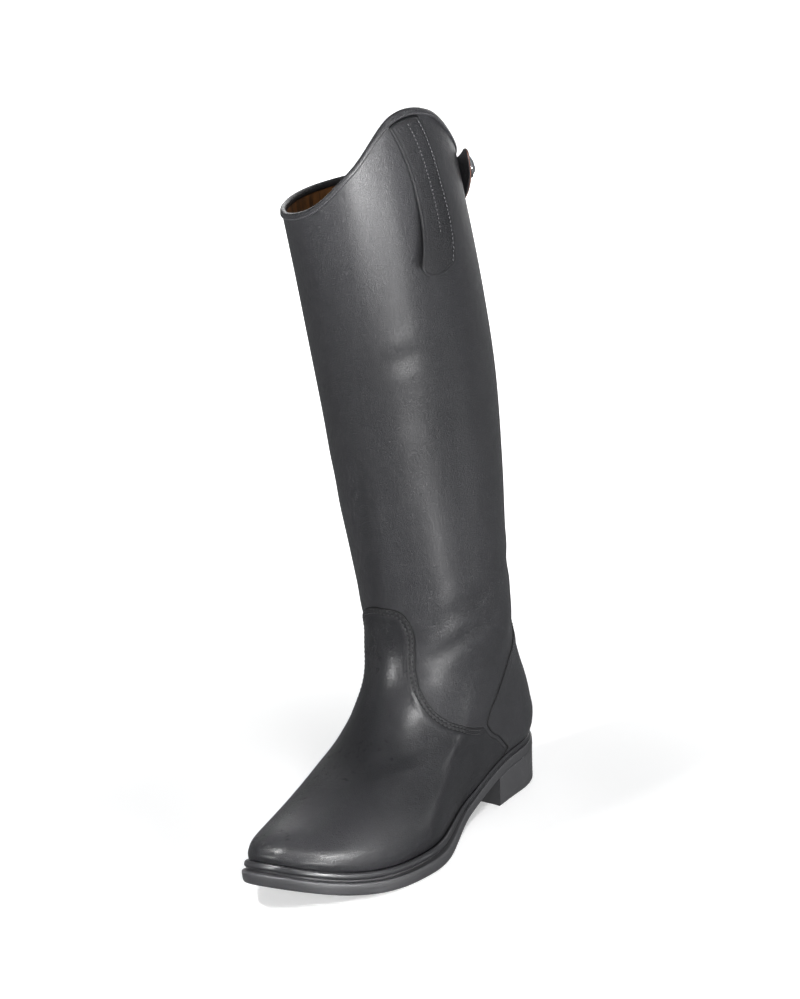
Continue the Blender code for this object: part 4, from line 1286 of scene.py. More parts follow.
@dataclass
class Quarter:
    """Raised rear panel of one side, from the vamp to the zip facing and the counter."""

    looks: Finishes
    side: Side
    name: str
    rows: int = 96
    columns: int = 84
    low: float = 0.12
    top: float = 7.1
    tilt_from: float = 4.4
    thick: float = 0.75
    edge: float = 0.8
    seam_rows: tuple[float, ...] = (1.5, 3.9)
    groove: float = 0.22
    swell: float = 0.5

    def grid(self, row: Array, share: Array) -> Trail:
        """Angles and levels of the panel.

        A row runs from the front outline to the facing or counter, and rises towards the zip.

        Args:
            row: level of each row at its front end.
            share: place along the row, 0 at the front and 1 at the back.

        Returns:
            The places on the skin.
        """
        tilt = smooth(self.tilt_from, self.top, row)
        highest = row + tilt * QUARTER_RISE[-1][1]
        front = np.radians(eased(QUARTER_FRONT, row, 0.15))
        rear = np.abs(FORM.rear_angle(highest, eased(QUARTER_REAR, highest, 0.1) + 0.2, self.side))
        theta = front + (rear - front) * share
        return Trail(self.side.value * theta, row + tilt * eased(QUARTER_RISE, np.degrees(theta), 3.0))

    def build(self) -> list[bpy.types.Object]:
        """Makes the panel, rolled along its front and top edges, and its stitches.

        Returns:
            The panel and its stitches.
        """
        row = packed(self.low, self.top, self.rows, 1.5)[:, None]
        share = np.linspace(0.0, 1.0, self.columns)[None] ** 1.5
        at = self.grid(row, share)
        flat = at.points()
        away = edge_distance(flat, [flat[:, 0], flat[-1]])
        sewn = smooth(0.12, 0.3, share) * smooth(self.top - 1.6, self.top - 0.4, row)
        rise = SUNK + (self.thick - SUNK) * roll(away, self.edge) + self.swell * sewn * bell(away, 6.6, 2.0)
        sewing = Sewing(self.name + "_stitches", 1.9, 0.33)
        line = self.grid(np.full(300, self.top), np.linspace(0.1, 0.985, 300))
        for seam in self.seam_rows:
            rise = rise - self.groove * sewn * bell(away, seam, 0.5)
            sewing.add(line.moved(-seam * self.side.value), self.thick - 0.12, 2.7)
        # rim: paler edges, strongest along the sewn top edge, partly wear and partly painted highlight
        rim = bell(away, 0.0, 1.2) * (0.35 + 0.65 * sewn)
        cut = bell(away, 0.0, 0.9)
        panel = build_panel(self.name + "_panel", self.name, at, rise, self.looks.quarter, rim=rim, cut=cut)
        return [panel, sewing.build(self.looks.thread)]


@dataclass
class Counter:
    """Patch across the back of the heel below the zip, in two layers with a seam between them."""

    looks: Finishes
    rows: int = 70
    columns: int = 71
    low: float = 0.12
    top: float = 4.78
    thick: float = 1.6
    step_at: float = 3.35
    step: float = 0.5
    edge: float = 1.2
    seam_in: float = 2.4
    seam_points: int = 160

    def half(self, level: Array) -> Array:
        """Half width of the patch at a level."""
        return eased(COUNTER_HALF, level, 0.25)

    def grid(self, level: Array, share: Array) -> Trail:
        """Places on the patch.

        Args:
            level: levels from the feather edge.
            share: shares of the half width from -1 (inner) to 1 (outer).

        Returns:
            The places on the skin.
        """
        width = self.half(level) * np.abs(share)
        inner = FORM.rear_angle(level, width, Side.INNER) + 2.0 * math.pi
        return Trail(np.where(share >= 0.0, FORM.rear_angle(level, width, Side.OUTER), inner), level)

    def build(self) -> list[bpy.types.Object]:
        """Makes the patch and the stitches along its sides and its seam.

        Returns:
            The patch and its stitches.
        """
        level = packed(self.low, self.top, self.rows, 1.4)[:, None]
        at = self.grid(level, -crowded(self.columns, 1.4)[None])
        flat = at.points()
        away = edge_distance(flat, [flat[:, 0], flat[:, -1], flat[-1]])
        rise = SUNK + (self.thick - SUNK) * roll(away, self.edge) - 0.25 * bell(away, self.seam_in, 0.5)
        rise = rise + self.step * smooth(self.step_at + 0.06, self.step_at - 0.06, level)
        # rim: paler edges and a pale line along the step, partly wear and partly painted highlight
        rim = np.clip(bell(away, 0.0, 1.5) + 0.8 * bell(level, self.step_at, 0.1), 0.0, 1.0)
        panel = build_panel("heel_counter_patch", "heel_counter", at, rise, self.looks.trim, rim=rim)
        sewing = Sewing("heel_counter_stitches", 1.8, 0.32)
        run = np.linspace(0.93, -0.93, self.seam_points)
        for place, high in ((self.step_at - 0.3, self.thick + self.step - 0.15), (self.top - 0.28, self.thick - 0.3)):
            sewing.add(self.grid(np.full(self.seam_points, place), run), high, 2.6)
        side = np.linspace(0.5, self.top - 0.4, self.seam_points)
        for sign in (-1.0, 1.0):
            share = sign * (self.half(side) - self.seam_in) / self.half(side)
            sewing.add(self.grid(side, share), self.thick + 0.1, 2.6)
        return [panel, sewing.build(self.looks.thread)]


@dataclass
class Facing:
    """Folded strip along one side of the zip, sewn down with two rows."""

    looks: Finishes
    side: Side
    name: str
    rows: int = 230
    columns: int = 25
    near: float = 2.9
    far: float = 14.9
    thick: float = 1.5
    seam_rows: tuple[float, ...] = (6.3, 12.6)

    def levels(self, count: int) -> Array:
        """Levels of the strip from the zip's end to below the collar."""
        return np.linspace(SLIT_LEVEL - 0.2, FORM.zip_top(), count)

    def build(self) -> list[bpy.types.Object]:
        """Makes the strip, fat at the folded edge by the zip, and its stitches.

        Returns:
            The strip and its stitches.
        """
        width = self.near + (self.far - self.near) * (crowded(self.columns, 1.5) + 1.0) / 2.0
        level, width = np.broadcast_arrays(self.levels(self.rows)[:, None], width[None])
        rise = SUNK + (self.thick - SUNK) * roll(width - self.near, 1.5) * roll(self.far - width, 0.9)
        rise = rise + 0.35 * bell(width, self.near + 1.6, 1.1)
        sewing = Sewing(self.name + "_stitches", 1.9, 0.33)
        run = self.levels(500)
        for seam in self.seam_rows:
            rise = rise - 0.25 * bell(width, seam, 0.5)
            sewing.add(Trail(FORM.rear_angle(run, seam, self.side), run), self.thick - 0.12, 2.8)
        # rim: paler along the folded edge by the zip and the far edge, partly wear and partly painted highlight
        rim = np.clip(bell(width, self.near + 0.6, 1.1) + 0.5 * bell(width, self.far, 0.9), 0.0, 1.0)
        at = Trail(FORM.rear_angle(level, width, self.side), level)
        panel = build_panel(self.name + "_strip", self.name, at, rise, self.looks.trim, rim=rim)
        return [panel, sewing.build(self.looks.thread)]


# Collar binding: offset from the upper's outside, distance below the upper's top edge
BINDING_PROFILE = ((-0.1, 3.4), (0.5, 3.25), (0.9, 2.8), (1.02, 2.0), (1.0, 1.0), (0.85, 0.1), (0.45, -0.85),
                   (-0.2, -1.4), (-1.1, -1.6), (-2.0, -1.4), (-2.65, -0.85), (-3.0, 0.1), (-3.1, 1.0),
                   (-3.05, 2.2), (-2.8, 3.0), (-2.3, 3.2), (-2.1, 2.0), (-1.9, 0.2), (-1.1, -0.2), (-0.3, 0.2))


@dataclass
class Binding:
    """Bound top edge: a rolled strip over the collar, open at the zip, with one row of stitches."""

    looks: Finishes
    columns: int = 420
    seam_below: float = 2.2
    seam_off: float = 0.98

    def build(self) -> list[bpy.types.Object]:
        """Carries the rolled profile round the collar and sews it.

        Returns:
            The strip and its stitches.
        """
        off, below = np.array(BINDING_PROFILE).T
        theta = np.linspace(-1.0, 1.0, self.columns)[:, None] * SLIT_ANGLE + 0.0 * off
        level = FORM.level_at(theta, FORM.collar_height(theta) - EDGE_DROP - below)
        # rim: paler and smoother over the top of the roll, partly wear and partly painted highlight
        rim = np.broadcast_to(smooth(1.5, -1.2, below), theta.shape)
        strip = Piece("collar_binding_strip", FORM.skin(theta, level, off + 0.0 * theta), tube_faces(*theta.shape),
                      [self.looks.binding], Slot.EDGE, ("collar_binding",), attributes={"rim": rim}, sharp=70.0).build()
        sewing = Sewing("collar_binding_stitches", 1.7, 0.26)
        run = np.linspace(-0.995, 0.995, 900) * SLIT_ANGLE
        seam = FORM.level_at(run, FORM.collar_height(run) - EDGE_DROP - self.seam_below)
        sewing.add(Trail(run, seam), self.seam_off, 2.4)
        return [strip, sewing.build(self.looks.pale_thread, Slot.EDGE)]


@dataclass
class Flap:
    """A strip that stands off the leg, with rounded edges and a shallow groove along its seams."""

    looks: Finishes
    thick: float = 2.0
    edge: float = 0.9
    edge_half: float = 0.08
    groove: float = 0.12
    groove_at: float = 2.6

    def place(self, along: Array, across: Array, lift: Array | float) -> tuple[Array, Array]:
        """Points of the strip and the directions that they face, as each kind of strip has them."""
        raise NotImplementedError

    def off_leg(self, theta: Array, height: Array, off: Array) -> tuple[Array, Array]:
        """Points off the smooth leg.

        Args:
            theta: angles from the front.
            height: heights in millimetres.
            off: distances outwards.

        Returns:
            Points, and the directions that they face.
        """
        theta, height = np.broadcast_arrays(theta, height)
        level = FORM.level_at(theta, height)
        facing = FORM.outward(theta, level)
        return FORM.surface(theta, level) + facing * np.broadcast_to(off, theta.shape)[..., None], facing

    def wall(self, along: Array, across: Array) -> tuple[Array, Array]:
        """Closed wall of the strip: thick inside, thin at its borders, grooved at the seams.

        Args:
            along: places along the strip.
            across: places across it, in the same grid.

        Returns:
            Points of the outer and the inner grid, and the strength of the rim at each of them.
        """
        flat, _ = self.place(along, across, 0.5)
        away = edge_distance(flat, [flat[0], flat[-1], flat[:, 0], flat[:, -1]])
        half = self.edge_half + (0.5 - self.edge_half) * roll(away, self.edge)
        outer, _ = self.place(along, across, 0.5 + half - self.groove * bell(away, self.groove_at, 0.5))
        inner, _ = self.place(along, across, 0.5 - half)
        # rim: paler border of the strap and the tab, partly wear and partly painted highlight
        rim = bell(away, 0.0, 1.4).ravel()
        return stacked(outer, inner), np.concatenate([rim, 0.0 * rim])

    def sew(self, sewing: Sewing, lines: Sequence[tuple[Array, Array]], lift: float) -> None:
        """Adds seams along lines on the strip."""
        for along, across in lines:
            sewing.place(*self.place(along, across, lift))


# Closing strap: angle round the boot and height of the strap, stand-off, its trend and gap below the collar
STRAP_HEIGHT = ((126.0, 17.5), (135.0, 21.5), (143.0, 25.5), (155.0, 30.5), (168.0, 36.0), (180.0, 39.0),
                (190.0, 38.0), (200.0, 35.0), (210.0, 32.0))
STRAP_OFF = ((126.0, 6.4), (130.0, 5.8), (135.0, 5.2), (143.0, 4.6), (155.0, 4.4), (168.0, 4.8), (180.0, 5.0),
             (190.0, 3.6), (200.0, 1.6), (210.0, 0.5))
STRAP_TREND = ((135.0, 21.5), (180.0, 39.0), (210.0, 32.0))
STRAP_GAP = ((126.0, 3.0), (150.0, 3.5), (180.0, 4.5), (195.0, 6.2), (210.0, 6.2))
# Snap's flange: radius, height
SNAP_FLANGE = ((0.02, 0.0), (8.3, 0.0), (8.65, 0.15), (8.8, 0.55), (8.7, 0.95), (8.3, 1.25), (7.7, 1.3),
               (7.1, 1.1), (6.75, 1.2))


@dataclass
class Strap(Flap):
    """Closing strap over the zip's top, sewn on the inner side, with a domed snap on its free end."""

    columns: int = 150
    lines: int = 43
    start: float = 126.0
    end: float = 210.0
    round_from: float = 135.0
    round_run: float = 9.05
    end_seams: tuple[float, ...] = (208.2, 203.5)
    snap_angle: float = 137.0
    snap_drop: float = 11.0
    snap_sides: int = 72
    dome_radius: float = 6.7
    dome_from: float = 1.5
    dome_rise: float = 3.0

    def place(self, along: Array, across: Array, lift: Array | float) -> tuple[Array, Array]:
        """Points of the strap.

        Args:
            along: degrees round the boot, through the back.
            across: place across the strap from -0.5 (lower edge) to 0.5 (upper edge).
            lift: share of the thickness, 0 inside and 1 outside.

        Returns:
            Points, and the directions that they face.
        """
        theta = (np.radians(along) + math.pi) % (2.0 * math.pi) - math.pi
        q = np.clip((self.round_from - along) / self.round_run, 0.0, 0.9995)
        tall = eased(STRAP_HEIGHT, along, 1.5) * np.sqrt(1.0 - q * q)
        middle = FORM.collar_height(theta) - straight(STRAP_GAP, along) - straight(STRAP_TREND, along) / 2.0
        off = eased(STRAP_OFF, along, 2.0) + self.thick * np.asarray(lift, float)
        return self.off_leg(theta, middle + across * tall, off)

    def build(self) -> list[bpy.types.Object]:
        """Makes the strap, stitches along its long edges and its sewn end, and the snap.

        Returns:
            The strap, its stitches and the snap.
        """
        along = self.start + (self.end - self.start) * np.linspace(0.0, 1.0, self.columns) ** 1.5
        along, across = np.broadcast_arrays(along[None], crowded(self.lines, 1.5)[:, None] / 2.0)
        points, rim = self.wall(along, across)
        band = Piece("closing_strap_band", points, shell_faces(*along.shape), [self.looks.trim, self.looks.raw_edge],
                     Slot.LEATHER, ("closing_strap",), looks=[0, 0, 1], attributes={"rim": rim}).build()
        sewing = Sewing("closing_strap_stitches", 1.9, 0.32)
        run = np.linspace(131.0, 208.5, 95)
        edge = 0.5 - self.groove_at / eased(STRAP_HEIGHT, run, 1.5)
        down = np.linspace(-0.42, 0.42, 11)
        ends = [(np.full(down.shape, angle), down) for angle in self.end_seams]
        self.sew(sewing, [(run, edge), (run, -edge), *ends], 0.97)
        return [band, sewing.build(self.looks.thread), self.snap()]

    def snap(self) -> bpy.types.Object:
        """Turns the snap: a rolled flange, a groove and a dome, round the strap's outward direction.

        Returns:
            The snap.
        """
        theta = np.array([math.radians(self.snap_angle)])
        height = FORM.collar_height(theta) - straight(STRAP_GAP, self.snap_angle) - self.snap_drop
        off = straight(STRAP_OFF, self.snap_angle) + self.thick - 0.1
        (at,), (facing,) = self.off_leg(theta, height, off)
        a = np.linspace(0.0, 0.5 * math.pi, 16)[:-1]
        dome = np.stack([self.dome_radius * np.cos(a), self.dome_from + self.dome_rise * np.sin(a)], 1)
        profile = np.concatenate([SNAP_FLANGE, dome, [[0.02, self.dome_from + self.dome_rise]]])[:, None]
        side = unit(np.cross(facing, UP))
        turn = around(self.snap_sides)[:, None]
        ring = np.cos(turn) * side + np.sin(turn) * np.cross(side, facing)
        points = at + profile[..., :1] * ring + profile[..., 1:] * facing
        return Piece("snap_dome", points, tube_faces(len(profile), self.snap_sides), [self.looks.chrome], Slot.CHROME,
                     ("snap_button",), sharp=50.0).build()


@dataclass
class Tab(Flap):
    """Tab hanging on the outer side, sewn at its top, free and flaring out below."""

    thick: float = 2.2
    edge: float = 1.0
    groove: float = 0.14
    groove_at: float = 2.1
    rows: int = 120
    columns: int = 33
    angle: float = 67.2
    slant: float = 35.7
    bow: float = 38.0
    half: float = 10.8
    length: float = 105.0
    below: float = 5.6
    flare: float = 9.0
    stand: float = 0.7
    round_from: float = 0.905
    # strength of the tab's paler border, partly wear and partly painted highlight
    rim: float = 0.4

    def place(self, along: Array, across: Array, lift: Array | float) -> tuple[Array, Array]:
        """Points of the tab.

        Args:
            along: place along the tab, 0 at the top and 1 at the free end.
            across: place across it from -1 (front edge) to 1 (rear edge).
            lift: share of the thickness, 0 inside and 1 outside.

        Returns:
            Points, and the directions that they face.
        """
        centre = math.radians(self.angle)
        top = FORM.collar_height(centre + across * self.half / LEG_RADIUS) - self.below
        end = FORM.collar_height(np.array([centre]))[0] - self.below - self.length
        q = np.clip((along - self.round_from) / (1.0 - self.round_from), 0.0, 0.9995)
        middle = centre + np.radians(self.slant * along - self.bow * along * along)
        theta = middle + across * self.half * np.sqrt(1.0 - q * q) / LEG_RADIUS
        off = self.stand * smooth(0.0, 0.12, along) + self.flare * smooth(0.3, 1.05, along) ** 1.2
        return self.off_leg(theta, top + (end - top) * along, off + self.thick * np.asarray(lift, float))

    def build(self) -> list[bpy.types.Object]:
        """Makes the tab with rounded edges and its edge and middle stitches.

        Returns:
            The tab and its stitches.
        """
        along, across = np.broadcast_arrays(packed(0.0, 1.0, self.rows, 1.5)[:, None], crowded(self.columns, 1.5)[None])
        points, rim = self.wall(along, across)
        strip = Piece("dress_tab_strip", points, shell_faces(*along.shape), [self.looks.tab], Slot.LEATHER,
                      ("dress_tab",), attributes={"rim": self.rim * rim}).build()
        sewing = Sewing("dress_tab_stitches", 1.7, 0.3)
        edge = np.full(36, (self.half - self.groove_at) / self.half)
        self.sew(sewing, [(np.linspace(0.04, 0.925, 36), edge), (np.linspace(0.04, 0.73, 28), np.full(28, 0.05))], 0.96)
        return [strip, sewing.build(self.looks.pale_thread)]


# Section of the zip's tape: share of its half width, height
TAPE_PROFILE = ((-1.0, 0.0), (-0.35, 0.06), (0.35, 0.06), (1.0, 0.0), (1.0, -0.5), (-1.0, -0.5))


@dataclass
class Zip:
    """Back zip: tape, two rows of coil, slider and swinging pull."""

    looks: Finishes
    tape_rows: int = 180
    tape_half: float = 2.9
    tape_off: float = -1.1
    tooth_step: float = 0.75
    tooth_length: float = 3.4
    tooth_girth: float = 0.5
    tooth_side: float = 0.95
    tooth_off: float = -0.75
    slider_height: float = 394.0
    slider_half: float = 4.5
    slider_waist: float = 0.62
    slider_off: float = 2.0
    slider_deep: float = 2.8
    slider_tall: float = 12.0
    slider_rows: int = 41
    slider_sides: int = 48
    arch_foot: float = 4.2
    arch_from: float = 6.0
    arch_centre: float = 7.5
    arch_radius: float = 2.25
    arch_wide: float = 1.2
    arch_thick: float = 0.5
    arch_sides: int = 20
    axle_off: float = 7.8
    pull_width: float = 8.0
    pull_length: float = 19.0
    pull_wire: float = 0.8
    pull_corner: float = 1.6
    pull_sides: int = 14

    def spine(self, count: int) -> tuple[Array, Array]:
        """Middle of the back from the zip's end to its top.

        Args:
            count: points of the line.

        Returns:
            Points and normals.
        """
        level = np.linspace(SLIT_LEVEL + 0.08, FORM.zip_top(), count)
        angle = np.full(count, math.pi)
        upright = 1.0 - ACROSS
        return FORM.surface(angle, level) * upright, unit(FORM.outward(angle, level) * upright)

    def build(self) -> list[bpy.types.Object]:
        """Makes the tape, the coil, the slider and the pull."""
        return [self.tape(), self.coil(), self.slider(), self.pull()]

    def tape(self) -> bpy.types.Object:
        """Tape in the slit: a flat closed strip, sunk below the leather.

        Returns:
            The tape.
        """
        points, facing = self.spine(self.tape_rows)
        side, high = np.array(TAPE_PROFILE).T[..., None]
        grid = points[:, None] + side * self.tape_half * ACROSS + (high + self.tape_off) * facing[:, None]
        return Piece("zip_tape_strip", grid, tube_faces(*grid.shape[:2]), [self.looks.tape], Slot.TAPE, ("zip_chain",),
                     sharp=40.0).build()

    def coil(self) -> bpy.types.Object:
        """Coil: short rounded bars from either side in turn, meeting over the middle.

        Returns:
            The coil.
        """
        points, facing = self.spine(2000)
        run = run_along(points)
        number = np.arange(int(run[-1] / self.tooth_step))
        at = (number + 0.5) * self.tooth_step
        out = unit(read_along(at, run, facing))
        middle = read_along(at, run, points) + out * self.tooth_off
        middle[:, 0] = np.where(number % 2 == 0, self.tooth_side, -self.tooth_side)
        bars = (middle, np.tile(ACROSS, (len(number), 1)), out)
        mesh, faces = stitch_mesh([bars], self.tooth_length, self.tooth_girth)
        return Piece("zip_coil_teeth", mesh, faces, [self.looks.coil], Slot.TAPE).build()

    def seat(self) -> tuple[Array, Array]:
        """Place of the slider on the back.

        Returns:
            The point and its outward direction.
        """
        back = np.array([math.pi])
        level = FORM.level_at(back, np.array([self.slider_height]))
        upright = 1.0 - ACROSS
        return FORM.surface(back, level)[0] * upright, unit(FORM.outward(back, level)[0] * upright)

    def slider(self) -> bpy.types.Object:
        """Slider: a body of rounded oblong sections, narrower below, and an arched bridge for the pull.

        Returns:
            The slider.
        """
        at, out = self.seat()
        up = np.cross(ACROSS, out)
        v = np.linspace(-1.0, 1.0, self.slider_rows)[:, None, None]
        end = np.clip(1.0 - np.abs(v) ** 7.0, 0.02, 1.0) ** (1.0 / 3.0)
        half = self.slider_half * (self.slider_waist + (1.0 - self.slider_waist) * smooth(-0.9, 0.5, v)) * end
        deep = self.slider_deep / 2.0
        x, y = (line[:, None] for line in oblong(self.slider_sides, 0.45, 0.6))
        high = self.slider_off + deep + deep * (0.55 + 0.45 * end) * y
        body = at + half * x * ACROSS + high * out + v * self.slider_tall / 2.0 * up
        a = np.linspace(-0.5 * math.pi, 0.5 * math.pi, 17)
        bow = np.stack([self.arch_centre + self.arch_radius * np.cos(a), self.arch_radius * np.sin(a)], 1)
        feet = np.array(((self.arch_foot, -self.arch_radius), (self.arch_from, -self.arch_radius)))
        path = np.concatenate([feet, bow, feet[::-1] * (1.0, -1.0)])
        x, y = (line[:, None] for line in oblong(self.arch_sides, 0.5, 0.5))
        flat = path[:, None] + right_of(unit(np.gradient(path, axis=0)))[:, None] * self.arch_thick * y
        arch = at + self.arch_wide * x * ACROSS + flat[..., :1] * out + flat[..., 1:] * up
        first = self.slider_rows * self.slider_sides
        faces = tube_faces(*body.shape[:2]) + tube_faces(*arch.shape[:2], start=first)
        return Piece("zip_slider_body", stacked(body, arch), faces, [self.looks.nickel], Slot.CHROME, ("zip_slider",),
                     sharp=55.0).build()

    def pull(self) -> bpy.types.Object:
        """Pull: a round wire carried round an oblong with rounded corners, hanging from the axle.

        Returns:
            The pull.
        """
        at, out = self.seat()
        side, low = self.pull_width / 2.0 - self.pull_corner, self.pull_corner - self.pull_length
        centres = ((side, -self.pull_corner), (-side, -self.pull_corner), (-side, low), (side, low))
        turn = 0.5 * math.pi * (np.arange(4)[:, None] + np.linspace(0.0, 1.0, 9))
        corners = np.stack([np.cos(turn), np.sin(turn)], -1) * self.pull_corner + np.array(centres)[:, None]
        path = corners.reshape(-1, 2)
        ahead = unit(np.roll(path, -1, 0) - np.roll(path, 1, 0))
        b = around(self.pull_sides)[:, None]
        flat = path[:, None] + right_of(ahead)[:, None] * np.cos(b) * self.pull_wire
        ring = at + out * self.axle_off + flat[..., :1] * ACROSS + flat[..., 1:] * UP
        ring = ring + np.sin(b) * self.pull_wire * BACKWARD
        quads = grid_quads(len(path) + 1, self.pull_sides, wrap=True) % (len(path) * self.pull_sides)
        return Piece("zip_pull_loop", ring, [quads], [self.looks.nickel], Slot.CHROME, ("zip_pull",), Body.PULL).build()


# Sole edge profiles: reach at the forefoot, share of the height from the top, fixed drop
WELT_PROFILE = ((0.6, -1.0, 0.0), (2.4, -1.0, 0.0), (3.2, -0.92, 0.0), (3.75, -0.78, 0.0), (4.05, -0.6, 0.0),
                (4.1, -0.42, 0.0), (3.95, -0.22, 0.0), (3.55, -0.04, 0.2), (2.9, 0.0, 0.8), (2.2, 0.0, 1.05),
                (1.5, 0.0, 0.9), (0.8, 0.0, 0.3), (0.0, 0.0, 0.0))
SOLE_PROFILE = ((4.2, -1.0, 0.0), (5.0, -1.0, 0.3), (5.65, -1.0, 1.1), (6.05, -1.0, 2.5), (6.25, -0.5, 0.0),
                (6.3, -0.25, -1.6), (6.2, 0.0, -2.6), (6.0, 0.0, -2.0), (5.6, 0.0, -1.65), (5.0, 0.0, -1.5),
                (3.4, 0.0, -1.5), (2.3, 0.0, -1.45), (1.8, 0.0, -1.1), (1.6, 0.0, -0.3), (1.2, 0.0, 0.0))
# Insole edge: reach, height
INSOLE_PROFILE = ((0.0, 0.05), (0.25, 0.5), (0.3, 1.2), (0.1, 2.1), (-0.6, 2.5))


@dataclass(frozen=True)
class Tread:
    """Stretch of shallow chevron grooves: bend, border across it, and its ends along the foot."""

    bend: float
    border: tuple[float, float]
    start: tuple[float, float]
    end: tuple[float, float]
    deep: float = 0.9
    step: float = 7.0

    def heights(self, grid: Array) -> Array:
        """Depth of the grooves.

        It is a squared-off wave of the distance along the foot, bent towards the middle.

        Args:
            grid: underside points, from side to side.

        Returns:
            Heights to add.
        """
        s = np.abs(np.linspace(-1.0, 1.0, grid.shape[1]))
        y = grid[..., 1]
        wave = np.cos(2.0 * math.pi * (y + self.bend * s) / self.step)
        inside = smooth(*self.border, s) * smooth(*self.start, y) * smooth(*self.end, y)
        return self.deep * smooth(0.25, 0.6, wave) * inside


@dataclass
class Sole:
    """Insole, welt, outsole with its tread, and ribbed heel."""

    looks: Finishes
    columns: int = 480
    across: int = 61
    fit: float = 0.3
    layer_gap: float = 0.05
    welt_front: float = 4.0
    welt_rear: float = 3.0
    rear_reach: float = 0.36
    reach_from: float = -50.0
    reach_to: float = 40.0
    waist_thick: float = 11.0
    thin_from: float = -40.0
    thin_to: float = 30.0
    flat_to: float = -45.0
    tread: Tread = Tread(9.0, (0.92, 0.828), (-132.0, -129.0), (-12.0, -15.0))
    insole_in: float = -3.0
    insole_across: int = 31
    dish: float = 0.9
    heel_columns: int = 161
    heel_across: int = 41
    heel_gap: float = 0.02
    heel_reach: float = 1.9
    heel_taper: float = 1.6
    heel_tread: Tread = Tread(5.0, (1.0, 0.86), (70.0, 74.0), (126.0, 121.0))
    breast_angle: float = 120.0
    breast_hollow: float = 4.0
    breast_rows: float = 24.0
    ribs: int = 6
    rib_depth: float = 0.8
    rib_from: float = 0.16
    rib_to: float = 0.88
    rib_side: float = 143.0
    rib_full: float = 155.0

    def share(self, y: Array) -> Array:
        """Share of the forefoot's edge width that is left further back."""
        return 1.0 - (1.0 - self.rear_reach) * smooth(self.reach_from, self.reach_to, y)

    def welt_top(self, y: Array) -> Array:
        """Top of the welt."""
        return FORM.feather_height(y) - self.fit

    def welt_bottom(self, y: Array) -> Array:
        """Underside of the welt."""
        thin = smooth(self.reach_from, self.reach_to, y)
        return self.welt_top(y) - self.welt_front - (self.welt_rear - self.welt_front) * thin

    def sole_top(self, y: Array) -> Array:
        """Top of the outsole."""
        return self.welt_bottom(y) - self.layer_gap

    def bottom(self, y: Array) -> Array:
        """Underside of the outsole: flat under the ball, sprung at the toe, arched behind.

        Args:
            y: places along the foot.

        Returns:
            Heights in millimetres.
        """
        thick = FORM.ball_edge + (self.waist_thick - FORM.ball_edge) * smooth(self.thin_from, self.thin_to, y)
        flat = np.where((y > FORM.spring_from) & (y < self.flat_to), 0.0, FORM.feather_height(y) - thick)
        return np.clip(flat, 0.0, None)

    def feather(self) -> tuple[Array, Array]:
        """Angles round the feather edge, and their places along the foot."""
        theta = np.linspace(-math.pi, math.pi, self.columns, endpoint=False)
        return theta, FORM.surface(theta, 0.0)[..., 1]

    def rings(self, profile: Sequence, top: Callable, bottom: Callable) -> Array:
        """Edge of a sole layer: its profile carried round the feather edge.

        Args:
            profile: rows of reach, share of the height and fixed drop.
            top: height of the layer's top along the foot.
            bottom: height of its underside.

        Returns:
            One ring of points for each row.
        """
        theta, y = self.feather()
        reach, share, drop = np.array(profile).T[..., None]
        left = self.share(y)
        plan = FORM.plan(theta + 0.0 * reach, reach * left)
        z = top(y) + (top(y) - bottom(y)) * share + drop * left
        return np.concatenate([plan, z[..., None]], -1)

    def lid(self, ring: Array, count: int) -> Array:
        """Grid over a ring: straight lines from its inner to its outer side at the same angle.

        Args:
            ring: points round the layer.
            count: points of each line.

        Returns:
            Rows from the back to the toe.
        """
        half = self.columns // 2
        inner = ring[:half + 1]
        outer = ring[(-np.arange(half + 1)) % self.columns]
        s = np.linspace(0.0, 1.0, count)[None, :, None]
        return inner[:, None] + (outer - inner)[:, None] * s

    def layer(self, name: str, node: str, grids: tuple[Array, Array, Array], look: bpy.types.Material, slot: Slot,
              sharp: float, rim: Array) -> bpy.types.Object:
        """Closed layer of a sole, welded where its grids meet.

        Args:
            name: name of the piece.
            node: solid that it replaces.
            grids: rings of its edge, its underside and its top.
            look: its finish.
            slot: its material slot, which is not used.
            sharp: angle from which an edge is sharp.
            rim: strength of the painted highlight at each ring.

        Returns:
            The layer.
        """
        rings, low, high = grids
        points = stacked(rings, low, high)
        first = rings.shape[0] * rings.shape[1]
        second = first + low.shape[0] * low.shape[1]
        faces = [grid_quads(*rings.shape[:2], wrap=True), grid_quads(*low.shape[:2], start=first),
                 grid_quads(*high.shape[:2], start=second)[:, ::-1]]
        rims = np.concatenate([np.repeat(rim, rings.shape[1]), np.zeros(len(points) - first)])
        return Piece(name, points, faces, [look], slot, (node,), attributes={"rim": rims}, sharp=sharp,
                     weld=True).build()

    def build(self) -> list[bpy.types.Object]:
        """Makes the four layers."""
        return [self.insole(), self.welt(), self.outsole(), self.heel()]

    def insole(self) -> bpy.types.Object:
        """Insole: a plate with a rounded edge, slightly dished under the heel and the ball.

        Returns:
            The insole.
        """
        theta, y = self.feather()
        reach, up = np.array(INSOLE_PROFILE).T[..., None]
        plan = FORM.plan(theta + 0.0 * reach, self.insole_in + reach + 0.0 * theta)
        rings = np.concatenate([plan, (FORM.feather_height(y) + up)[..., None]], -1)
        high = self.lid(rings[-1], self.insole_across)
        s = np.linspace(-1.0, 1.0, self.insole_across)
        inside = smooth(-140.0, -100.0, high[..., 1]) * smooth(136.0, 100.0, high[..., 1])
        high[..., 2] -= self.dish * (1.0 - s**2) * inside
        return self.layer("insole_sock", "insole", (rings, self.lid(rings[0], 3), high), self.looks.board, Slot.BOARD,
                          38.0, np.zeros(len(rings)))

